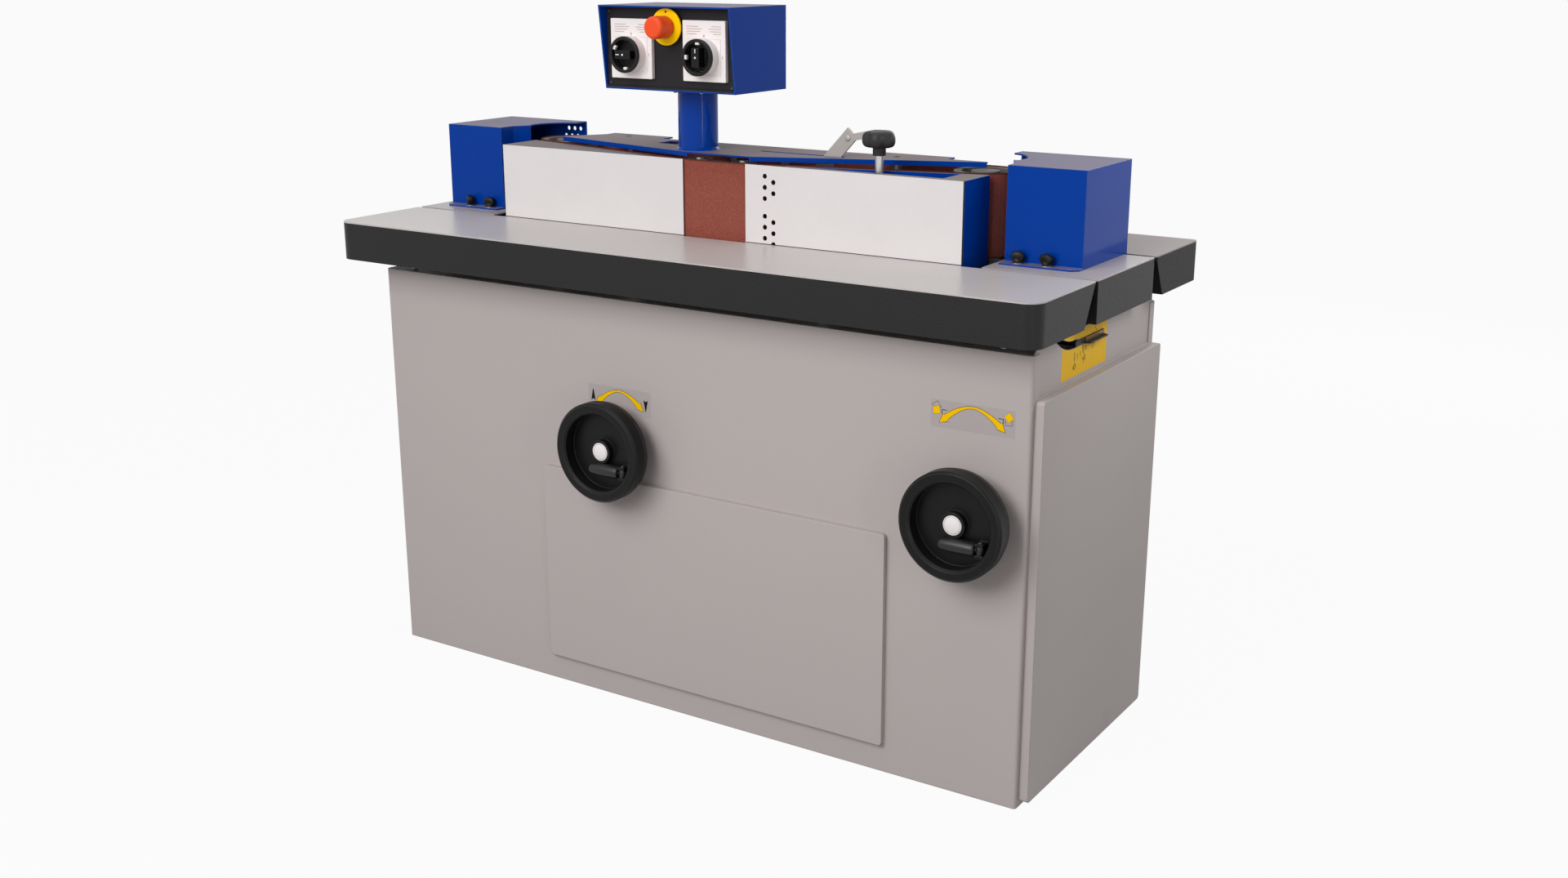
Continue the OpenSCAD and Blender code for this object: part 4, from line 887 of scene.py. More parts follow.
def around(count: int, start_deg: float = 0.0) -> list[float]:
    """Angles in radians, spread evenly over a full turn."""
    return [math.radians(start_deg) + 2 * math.pi * i / count for i in range(count)]


def ring(points: Iterable[Point2], z: float) -> list[Vector]:
    """Points of an outline at a height."""
    return [Vector((x, y, z)) for x, y in points]


def shift(x: float, y: float, z: float) -> Matrix:
    """Move along the three axes."""
    return Matrix.Translation((x, y, z))


def spin(degrees: float) -> Matrix:
    """Turn about Z."""
    return Matrix.Rotation(math.radians(degrees), 4, "Z")


def along_x(start: float) -> Matrix:
    """Frame for an outline in the row's Y and Z that is drawn out along X from a start."""
    return Matrix(((0, 0, 1, start), (1, 0, 0, 0), (0, 1, 0, 0), (0, 0, 0, 1)))


def facing(origin: Sequence[float], normal: Axis, sign: int, turn_deg: float = 0.0) -> Matrix:
    """Frame whose Z looks along an axis of the row and whose Y points up.

    Args:
        origin: Where it stands.
        normal: The axis it looks along.
        sign: 1 or -1, along or against it.
        turn_deg: Turn about that direction.

    Returns:
        The frame's matrix.
    """
    z = Vector([sign if i == normal.value else 0 for i in range(3)])
    y = Vector((0, 1, 0)) if normal is Axis.Z else Vector((0, 0, 1))
    return shift(*origin) @ Matrix((y.cross(z), y, z)).transposed().to_4x4() @ spin(turn_deg)


def inset(outline: Sequence[Point2], width: float) -> list[Point2]:
    """Draws an anticlockwise outline in by a width.

    Args:
        outline: The corners.
        width: Distance inwards.

    Returns:
        The moved corners.
    """
    sharpest = 0.35
    moved = []
    for i, (x, y) in enumerate(outline):
        before, here, after = Vector(outline[i - 1]), Vector((x, y)), Vector(outline[(i + 1) % len(outline)])
        one, two = (here - before).normalized(), (after - here).normalized()
        left = Vector((-one.y, one.x))
        normal = left + Vector((-two.y, two.x))
        normal = normal.normalized() if normal.length > TINY else left
        reach = width / max(sharpest, normal.dot(left))
        moved.append((x + normal.x * reach, y + normal.y * reach))
    return moved


def round_outline(width: float, height: float, radius: float, steps: int = 6) -> list[Point2]:
    """Rectangle about the origin with round corners.

    Args:
        width: Size along X.
        height: Size along Y.
        radius: Corner radius.
        steps: Facets of each corner.

    Returns:
        The corners, anticlockwise.
    """
    points = []
    for quarter, (sx, sy) in enumerate(((1, 1), (-1, 1), (-1, -1), (1, -1))):
        for i in range(steps + 1):
            x, y = polar(radius, math.pi / 2 * (quarter + i / steps))
            points.append((sx * (width / 2 - radius) + x, sy * (height / 2 - radius) + y))
    return points


@dataclass
class Form:
    """Vertices and faces of a shape, in millimetres in its own frame."""

    verts: list[Vector] = field(default_factory=list)
    faces: list[list[int]] = field(default_factory=list)

    def add(self, other: "Form", at: Matrix = Matrix.Identity(4)) -> "Form":
        """Joins another form, moved by a matrix.

        Args:
            other: The form to take in.
            at: Where it goes.

        Returns:
            This form.
        """
        start = len(self.verts)
        self.verts += [at @ v for v in other.verts]
        self.faces += [[start + i for i in face] for face in other.faces]
        return self

    def moved(self, at: Matrix) -> "Form":
        """A copy of the form, moved by a matrix."""
        return Form().add(self, at)

    @staticmethod
    def skin(rings: Sequence[Sequence[Vector]], bottom: bool = True, top: bool = True) -> "Form":
        """Wall over rings of equally many points.

        Args:
            rings: The rings from the bottom up, anticlockwise seen from above.
            bottom: Whether a face closes the first ring.
            top: Whether a face closes the last ring.

        Returns:
            The form.
        """
        count = len(rings[0])
        form = Form([v for level in rings for v in level])
        for start in range(0, count * (len(rings) - 1), count):
            for i in range(count):
                j = (i + 1) % count
                form.faces.append([start + i, start + j, start + count + j, start + count + i])
        if bottom:
            form.faces.append(list(reversed(range(count))))
        if top:
            form.faces.append(list(range(len(form.verts) - count, len(form.verts))))
        return form

    @staticmethod
    def prism(outline: Sequence[Point2], depth: float, chamfer: float = 0.0) -> "Form":
        """Flat outline drawn out along Z, with a chamfer round its top.

        Args:
            outline: Corners, anticlockwise seen from above.
            depth: Thickness.
            chamfer: Width of the top chamfer.

        Returns:
            The closed form.
        """
        rings = [ring(outline, 0), ring(outline, depth - chamfer)]
        if chamfer:
            rings.append(ring(inset(outline, chamfer), depth))
        return Form.skin(rings)

    @staticmethod
    def lathe(
        profile: Sequence[Point2], steps: int = 40, lobes: Optional[Callable[[float], float]] = None
    ) -> "Form":
        """Profile of radius and height turned about Z.

        Args:
            profile: Points from the bottom up; a radius of zero closes an end.
            steps: Facets round the axis.
            lobes: Share of the radius at each angle, for lobed shapes.

        Returns:
            The form.
        """
        form = Form()
        rows: list[list[int]] = []
        for r, z in profile:
            angles = around(steps) if r > TINY else [0.0]
            rows.append(list(range(len(form.verts), len(form.verts) + len(angles))))
            form.verts += ring([polar(r * (lobes(a) if lobes else 1.0), a) for a in angles], z)
        for below, above in zip(rows, rows[1:]):
            for i in range(steps):
                j = (i + 1) % steps
                if len(below) == 1:
                    form.faces.append([below[0], above[j], above[i]])
                elif len(above) == 1:
                    form.faces.append([below[i], below[j], above[0]])
                else:
                    form.faces.append([below[i], below[j], above[j], above[i]])
        return form

    @staticmethod
    def box(start: Sequence[float], end: Sequence[float], chamfer: float = 0.0) -> "Form":
        """Box between two corners with its top edges chamfered.

        Args:
            start: Lowest corner.
            end: Highest corner.
            chamfer: Width of the chamfer.

        Returns:
            The closed form.
        """
        outline = [(start[0], start[1]), (end[0], start[1]), (end[0], end[1]), (start[0], end[1])]
        return Form.prism(outline, end[2] - start[2], chamfer).moved(shift(0, 0, start[2]))

    @staticmethod
    def screw(width: float, height: float) -> "Form":
        """Button-head screw with a hexagon socket, open below.

        Args:
            width: Diameter of the head.
            height: Its height.

        Returns:
            The form.
        """
        r, sixth, angles = width / 2, math.pi / 3, around(24)
        head = ((r, 0), (r, height * 0.35), (r * 0.86, height * 0.75), (r * 0.55, height))
        rings = [ring([polar(k, a) for a in angles], z) for k, z in head]
        across = r * 0.42 * math.cos(sixth / 2)
        socket = [polar(across / math.cos(a % sixth - sixth / 2), a) for a in angles]
        rings += [ring(socket, height), ring(socket, height * 0.3)]
        return Form.skin(rings, bottom=False)

    @staticmethod
    def text(words: str, size: float, depth: float) -> "Form":
        """Plain numerals as a thin form, centred on its origin.

        Args:
            words: The numerals.
            size: Height of the characters.
            depth: Thickness.

        Returns:
            The form.
        """
        em_share = 1.35
        curve = bpy.data.curves.new("numeral", "FONT")
        curve.body = words
        curve.size = size * em_share
        curve.extrude = depth / 2
        curve.align_x = curve.align_y = "CENTER"
        holder = bpy.data.objects.new("numeral", curve)
        bpy.context.scene.collection.objects.link(holder)
        bpy.context.view_layer.update()
        mesh = bpy.data.meshes.new_from_object(holder.evaluated_get(bpy.context.evaluated_depsgraph_get()))
        lift = Vector((0, 0, depth / 2))
        form = Form([v.co + lift for v in mesh.vertices], [list(p.vertices) for p in mesh.polygons])
        bpy.data.objects.remove(holder)
        bpy.data.curves.remove(curve)
        bpy.data.meshes.remove(mesh)
        return form


def screws(size: Point2, spots: Iterable[Sequence[float]], normal: Axis, sign: int) -> Form:
    """Screw heads of one size on a face.

    Args:
        size: Width and height of the heads.
        spots: Where they sit.
        normal: Axis that the face looks along.
        sign: 1 or -1, along or against it.

    Returns:
        All heads as one form.
    """
    form = Form()
    for spot in spots:
        form.add(Form.screw(*size), facing(spot, normal, sign))
    return form


def place(
    name: str, form: Form, finish: Finish, body: Body, smooth_deg: float = PIECE_SMOOTH_DEG
) -> bpy.types.Object:
    """Makes a piece of the object from a form.

    Args:
        name: Piece name.
        form: Its shape in the row frame, in millimetres.
        finish: Its finish.
        body: Body it rides on.
        smooth_deg: Edges sharper than this stay sharp.

    Returns:
        The new object.
    """
    mesh = bpy.data.meshes.new(name)
    mesh.from_pydata([v * MM for v in form.verts], [], form.faces)
    mesh.validate()
    mesh.shade_smooth()
    mesh.set_sharp_from_angle(angle=math.radians(smooth_deg))
    mesh.materials.append(finish.material())
    piece = bpy.data.objects.new(name, mesh)
    bpy.context.scene.collection.objects.link(piece)
    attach(piece, body.value)
    LOG.info("piece %s on %s, %d faces", name, body.value, len(mesh.polygons))
    return piece


def low(node: str) -> Vector:
    """Lowest corner of a frame node, in millimetres."""
    return Vector(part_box(node)[0]) / MM


def high(node: str) -> Vector:
    """Highest corner of a frame node, in millimetres."""
    return Vector(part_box(node)[1]) / MM


def middle(node: str) -> Vector:
    """Centre of a frame node's box, in millimetres."""
    return (low(node) + high(node)) / 2


def anchor(joint: str) -> Vector:
    """Point on a joint's axis, in millimetres."""
    return Vector(next(j["pos_m"] for j in frame["joints"] if j["name"] == joint)) / MM


def dress(finish: Finish, *nodes: str) -> None:
    """Gives frame nodes a finish.

    Args:
        finish: The finish.
        nodes: Names of the nodes.
    """
    for name in nodes:
        mesh = frame["nodes"][name].data
        mesh.materials.clear()
        mesh.materials.append(finish.material())
        mesh.shade_smooth()
        mesh.set_sharp_from_angle(angle=math.radians(NODE_SMOOTH_DEG))
        LOG.info("node %s takes %s", name, finish.name)


# Sub-assemblies


@dataclass
class Signs:
    """Pictograms on the cabinet's front, and the tilt scale and its cursor on the side."""

    film: float = 0.15
    ink: float = 0.1
    corner_r: float = 1.5
    outline_w: float = 0.7
    lift_size: Point2 = (146.0, 50.0)
    lift_z: float = 607.0
    lift_arrow: Point2 = (112.0, 28.0)
    lift_arrow_y: float = -10.0
    tilt_size: Point2 = (154.0, 47.0)
    tilt_z: float = 682.5
    tilt_arrow: Point2 = (122.0, 30.0)
    tilt_arrow_y: float = -12.0
    dart: Profile = ((-5.0, -11.0), (0.0, -8.0), (5.0, -11.0), (1.2, 9.0), (0.0, 12.0), (-1.2, 9.0))
    pad_x: float = 66.0
    pad_r: float = 8.75
    pivot_y: float = -121.0
    pivot_z: float = 900.0
    zero_deg: float = 47.6
    tick_r: Point2 = (127.0, 142.0)
    tick_w: Point2 = (2.0, 1.3)
    short_tick: float = 5.0
    number_r: float = 152.0
    number_h: float = 11.0
    number_turn: float = 30.0
    scale_y: Point2 = (-168.0, 22.0)
    scale_z: Point2 = (732.0, 811.0)
    scale_joint_y: float = -100.0
    slot_r: Point2 = (104.4, 119.6)
    cursor_y: Point2 = (88.0, 0.4)
    ledge_x: float = 10.7
    ledge_z: float = 9.8

    def arrow(self, size: Point2, grow: float) -> Form:
        """Curved double arrow, thin at its crown and broad at its heads.

        Args:
            size: Width between the tips and height of the crown over them.
            grow: Margin added all round.

        Returns:
            The flat form.
        """
        reach, rise = size[0] * 0.4, size[1]
        drop, bend, steps = 0.78, 1.8, 24
        outer, inner = [], []
        for i in range(steps + 1):
            s = 2 * i / steps - 1
            spot = Vector((s * reach, rise * (1 - abs(s) ** bend * drop)))
            slope = -math.copysign(rise * drop * bend * max(abs(s), TINY) ** (bend - 1), s) / reach
            out = Vector((-slope, 1)).normalized() * (1.6 + 3.4 * abs(s) ** 1.6 + grow)
            outer.append(spot + out)
            inner.append(spot - out)
        heads = []
        for top, under in ((outer[0], inner[0]), (outer[-1], inner[-1])):
            across = (top - under).normalized()
            along = Vector((across.y, -across.x))
            along = along if along.y < 0 else -along
            flare = across * (2.6 + grow * 0.6)
            heads.append([top + flare, (top + under) / 2 + along * (15 + grow * 2), under - flare])
        outline = heads[0] + inner + heads[1][::-1] + outer[::-1]
        return Form.prism([(p.x, p.y) for p in outline], self.ink)

    def pointer(self, x: float, y: float, up: int) -> Form:
        """Small black dart that points up or down."""
        outline = [(x + u, y + v * up) for u, v in self.dart]
        return Form.prism(outline[::up], self.ink)

    def stroke(self, start: Point2, end: Point2, width: float) -> Form:
        """Thin printed line.

        Args:
            start: One end.
            end: The other end.
            width: Width of the line.

        Returns:
            The flat form.
        """
        (ax, ay), (bx, by) = start, end
        n = Vector((ay - by, bx - ax)).normalized() * width / 2
        return Form.prism(
            [(ax - n.x, ay - n.y), (bx - n.x, by - n.y), (bx + n.x, by + n.y), (ax + n.x, ay + n.y)], self.ink
        )

    def pad(self, x: float, y: float, turn: float) -> list[Point2]:
        """Corners of a small tilted square."""
        return [(x + u, y + v) for u, v in (polar(self.pad_r, a) for a in around(4, turn + 45))]

    def sign(self, name: str, wheel: str, z: float, size: Point2, ink: Form, yellow: Form) -> None:
        """Puts a sign on the cabinet's front, above a handwheel.

        Args:
            name: Stem of the piece names.
            wheel: Node of the handwheel.
            z: Middle above the floor.
            size: Width and height of its film.
            ink: Black print.
            yellow: Yellow print.
        """
        at = facing((middle(wheel).x, low("front_panel").y, z), Axis.Y, -1)
        film = Form.prism(round_outline(*size, self.corner_r), self.film)
        for tail, form, finish, level in (
            ("film", film, SIGN_FILM, 0.0),
            ("ink", ink, SIGN_INK, self.film),
            ("arrow", yellow, SIGN_YELLOW, self.film + self.ink),
        ):
            place(f"{name}_{tail}", form.moved(at @ shift(0, 0, level)), finish, Body.BASE)

    def lift(self) -> None:
        """Sign of the lift handwheel."""
        at = shift(0, self.lift_arrow_y, 0)
        ink = self.pointer(-62, 4, 1).add(self.pointer(62, -2, -1))
        ink.add(self.arrow(self.lift_arrow, self.outline_w), at)
        yellow = self.arrow(self.lift_arrow, 0.0).moved(at)
        self.sign("lift_sign", "lift_wheel", self.lift_z, self.lift_size, ink, yellow)

    def tilt(self) -> None:
        """Sign of the tilt handwheel."""
        at = shift(0, self.tilt_arrow_y, 0)
        ink = self.arrow(self.tilt_arrow, self.outline_w).moved(at)
        yellow = self.arrow(self.tilt_arrow, 0.0).moved(at)
        for side, turn, dy in ((-1, 12, -2), (1, 40, 2)):
            x = self.pad_x * side
            ghost, solid = self.pad(x, 8 - dy * 2.2, 45 - turn), self.pad(x, 8 + dy * 1.4, turn)
            for corner in range(4):
                for square in (ghost, solid):
                    ink.add(self.stroke(square[corner - 1], square[corner], 0.6))
            yellow.add(Form.prism(solid, self.ink))
            inner = x - 10 * side
            for end in ((x - 19 * side, 7), (inner, 0)):
                ink.add(self.stroke((inner, 7), end, 1.2))
        self.sign("tilt_sign", "tilt_wheel", self.tilt_z, self.tilt_size, ink, yellow)

    def swept(self, radius: float, degrees: float) -> Point2:
        """Point of the side sheet at a radius and an angle from straight under the tilt axis."""
        side, drop = polar(radius, math.radians(degrees - 90))
        return self.pivot_y + side, self.pivot_z + drop

    def scale(self) -> None:
        """Yellow degree scale beside the pointer."""
        side = along_x(high("scale_plate").x)
        (y0, y1), (z0, z1), joint = self.scale_y, self.scale_z, self.scale_joint_y
        above = [self.swept(self.slot_r[0], 3.7 * i - 26.4) for i in range(11)]
        below = [self.swept(self.slot_r[1], 9.5 - 4 * i) for i in range(9)]
        lower = [(y0, z0), (y1, z0), (y1, z1), (joint, z1), *below, (y0, below[-1][1])]
        upper = [(y0, z1), (y0, above[0][1]), *above, (joint, above[-1][1]), (joint, z1)]
        film = Form.prism(lower, self.ink).add(Form.prism(upper, self.ink)).moved(side)
        place("tilt_scale_film", film, SCALE_FILM, Body.BASE)
        marks = Form()
        for degree in range(5, 50, 5):
            angle, long = self.zero_deg - degree, degree % 15 == 0
            start = self.tick_r[0] + (0 if long else self.short_tick)
            ends = [self.swept(r, angle) for r in (start, self.tick_r[1])]
            marks.add(self.stroke(*ends, self.tick_w[0 if long else 1]))
            if long:
                at = shift(*self.swept(self.number_r, angle), 0) @ spin(self.number_turn)
                marks.add(Form.text(str(degree), self.number_h, self.ink), at)
        marks = marks.moved(side @ shift(0, 0, self.ink))
        place("tilt_scale_marks", marks, SIGN_INK, Body.BASE)

    def cursor(self) -> None:
        """Tinted strip on the pointer's face over a narrow black ledge."""
        tip = high("tilt_pointer")
        root, end = (tip.y - back for back in self.cursor_y)
        wall, nose = tip.x - 0.2, tip.x + self.ledge_x
        ledge = Form.prism([(wall, root), (nose, root + 9), (nose, end - 7), (wall, end)], 2.6, 0.5)
        ledge = ledge.moved(shift(0, 0, tip.z - self.ledge_z))
        place("pointer_ledge", ledge, BLACK_MOULD, Body.UNIT)
        strip = Form.box((wall, root + 8, tip.z - 7), (tip.x + 0.7, end - 2, tip.z - 0.4), 0.2)
        place("pointer_cursor", strip, AMBER, Body.UNIT)

    def build(self) -> None:
        """Makes the signs, the scale and the cursor."""
        self.lift()
        self.tilt()
        self.scale()
        self.cursor()


@dataclass
class Cabinet:
    """Sheet-metal cabinet with its rear details."""

    screw: Point2 = (11.0, 3.4)
    screw_in: float = 40.0
    screw_x: tuple[float, ...] = (-330.0, 12.0, 354.0)
    screw_z: tuple[float, ...] = (40.0, 760.0)
    side_screw_z: float = 400.0
    louvre: Point3 = (150.0, 12.0, 7.0)
    louvre_end: float = 6.0
    louvre_pitch: float = 26.0
    louvre_rows: int = 7
    louvre_x: tuple[float, ...] = (-420.0, 420.0)
    louvre_z: float = 470.0
    port_screw: Point2 = (8.0, 3.0)
    port_screw_r: float = 70.0
    port_flange: float = 4.0
    bead: Profile = ((59.9, 0.0), (61.0, 1.2), (61.4, 2.6), (61.0, 4.0), (59.9, 5.2))
    bead_in: float = 12.0

    def build(self) -> None:
        """Dresses the sheets and adds screws, louvres and the port's trim."""
        dress(CABINET_PAINT, "front_panel", "side_panels", "rear_panel", "front_cover", "side_door", "scale_plate")
        dress(FRAME_PAINT, "base_frame", "table_supports", "dust_port")
        self.rear_screws()
        self.louvres()
        self.port_trim()

    def rear_screws(self) -> None:
        """Screws round the rear panel."""
        lo, hi = low("rear_panel"), high("rear_panel")
        ends = (lo.x + self.screw_in, hi.x - self.screw_in)
        spots = [(x, hi.y, z) for x in (ends[0], *self.screw_x, ends[1]) for z in self.screw_z]
        spots += [(x, hi.y, self.side_screw_z) for x in ends]
        place("rear_panel_screws", screws(self.screw, spots, Axis.Y, 1), ZINC, Body.BASE)

    def louvres(self) -> None:
        """Pressed air louvres in the rear panel."""
        y = high("rear_panel").y
        length, tall, out = self.louvre
        half, flat = length / 2, 0.02
        profile = [(0, 0), (out, 0), (out * 0.92, tall * 0.35), (out * 0.6, tall * 0.75), (0, tall)]
        ends = ((-half, flat), (self.louvre_end - half, 1.0), (half - self.louvre_end, 1.0), (half, flat))
        louvre = Form.skin([[Vector((x, p * swell, q)) for p, q in profile] for x, swell in ends])
        form = Form()
        for x in self.louvre_x:
            for row in range(self.louvre_rows):
                form.add(louvre, shift(x, y, self.louvre_z + row * self.louvre_pitch))
        place("rear_louvres", form, CABINET_PAINT, Body.BASE, 50)

    def port_trim(self) -> None:
        """Screws and beaded rim of the dust port."""
        at, flange = middle("dust_port"), low("dust_port").y + self.port_flange
        circle = (polar(self.port_screw_r, a) for a in around(6, 30))
        heads = screws(self.port_screw, [(at.x + u, flange, at.z + v) for u, v in circle], Axis.Y, 1)
        place("dust_port_screws", heads, ZINC, Body.BASE)
        rim = facing((at.x, high("dust_port").y - self.bead_in, at.z), Axis.Y, 1)
        place("dust_port_bead", Form.lathe(self.bead, 56).moved(rim), FRAME_PAINT, Body.BASE)


@dataclass
class Tables:
    """Cast tables with their lips and jack nuts."""

    nut: Point2 = (17.0, 8.0)
    nut_lift: float = 3.0
    nut_gap: float = 0.2
    stud_d: float = 10.0
    stud_in: Point2 = (58.0, 55.0)
    lip: Point2 = (5.4, 3.0)

    def build(self) -> None:
        """Dresses the castings and adds lips and jack nuts."""
        dress(TABLE_IRON, "front_table")
        dress(END_IRON_SHADED, "left_end_table", "right_end_table")
        dress(REAR_IRON_SHADED, "rear_table")
        self.lips()
        self.jack_nuts()

    def lips(self) -> None:
        """Thin strips that close the joint between the front table and the fences."""
        back, top = high("front_table").y, high("front_table").z
        form = Form()
        for node in ("left_fence", "right_fence"):
            lo, hi = low(node), high(node)
            form.add(Form.box((lo.x, back, top - self.lip[1]), (hi.x, back + self.lip[0], top), 0.3))
        place("table_lips", form, TABLE_IRON, Body.TABLE, 20)

    def jack_nuts(self) -> None:
        """Hexagon nuts on the studs under the front table."""
        lo, hi = low("table_supports"), high("table_supports")
        stud, r, tall = self.stud_d / 2, self.nut[0] / 2, self.nut[1]
        bore = stud + self.nut_gap
        nut = Form.lathe([(bore, 0), (r, 0), (r, tall), (bore, tall)], 6)
        form = Form()
        for x in (lo.x + self.stud_in[0], hi.x - self.stud_in[1]):
            form.add(nut, shift(x, lo.y + stud, lo.z + self.nut_lift))
        place("jack_nuts", form, ZINC, Body.BASE, 20)


@dataclass
class Handwheel:
    """Dished handwheel with a pale hub cap and a folding grip."""

    wheel: str
    grip: str
    shaft: str
    body: Body
    grip_body: Body
    shaft_finish: Finish
    cap: Point2 = (29.0, 1.2)
    hub_face: float = 62.0
    pivot: Point3 = (52.0, -34.0, 61.0)
    pivot_screw: Point2 = (9.0, 2.6)
    pivot_half: float = 12.5
    grip_profile: Profile = (
        (0.0, 9.0), (9.6, 9.0), (11.0, 10.2), (11.6, 13.0), (12.2, 30.0), (12.4, 44.0), (12.0, 58.0), (11.4, 68.0),
        (10.4, 72.6), (8.4, 75.0), (5.0, 76.0), (0.0, 76.2),
    )
    neck: Profile = ((0.0, 2.5), (4.0, 2.5), (4.0, 12.5), (0.0, 12.5))
    eye: Profile = ((3.05, -7.0), (6.4, -7.0), (7.0, -6.2), (7.0, 6.2), (6.4, 7.0), (3.05, 7.0), (3.05, -7.0))

    def build(self) -> None:
        """Dresses wheel and shaft and makes cap, pivot screws and grip."""
        dress(BLACK_MOULD, self.wheel)
        dress(self.shaft_finish, self.shaft)
        axis, front = middle(self.wheel), low("front_panel").y
        r, tall = self.cap[0] / 2, self.cap[1]
        cap = Form.lathe([(r, 0), (r, tall / 2), (r - 1.2, tall), (0, tall + 0.3)])
        cap.add(Form.lathe([(r + 2.6, 0), (r + 2.2, 0.5), (r + 0.5, 0.5)]))
        hub = facing((axis.x, front - self.hub_face, axis.z), Axis.Y, -1)
        place(f"{self.wheel}_cap", cap.moved(hub), CAP_WHITE, self.body)
        u, v, out = self.pivot
        pin = Vector((axis.x + u, front - out, axis.z + v))
        heads = Form()
        for side in (-1, 1):
            heads.add(screws(self.pivot_screw, [pin + Vector((0, 0, side * self.pivot_half))], Axis.Z, side))
        place(f"{self.wheel}_pivot_screws", heads, DARK_SCREW, self.body)
        self.handle(pin)

    def handle(self, pin: Vector) -> None:
        """Turned grip with an eye, in place of the plain solid.

        Args:
            pin: Centre of its pivot pin.
        """
        folded = Matrix(((0, 0, -1, pin.x), (0, 1, 0, pin.y), (1, 0, 0, pin.z), (0, 0, 0, 1)))
        form = Form.lathe(self.grip_profile).add(Form.lathe(self.neck, 20)).moved(folded)
        form.add(Form.lathe(self.eye, 32), shift(*pin))
        piece = place(f"{self.grip}_turned", form, GRIP_MOULD, self.grip_body, 40)
        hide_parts(self.grip)


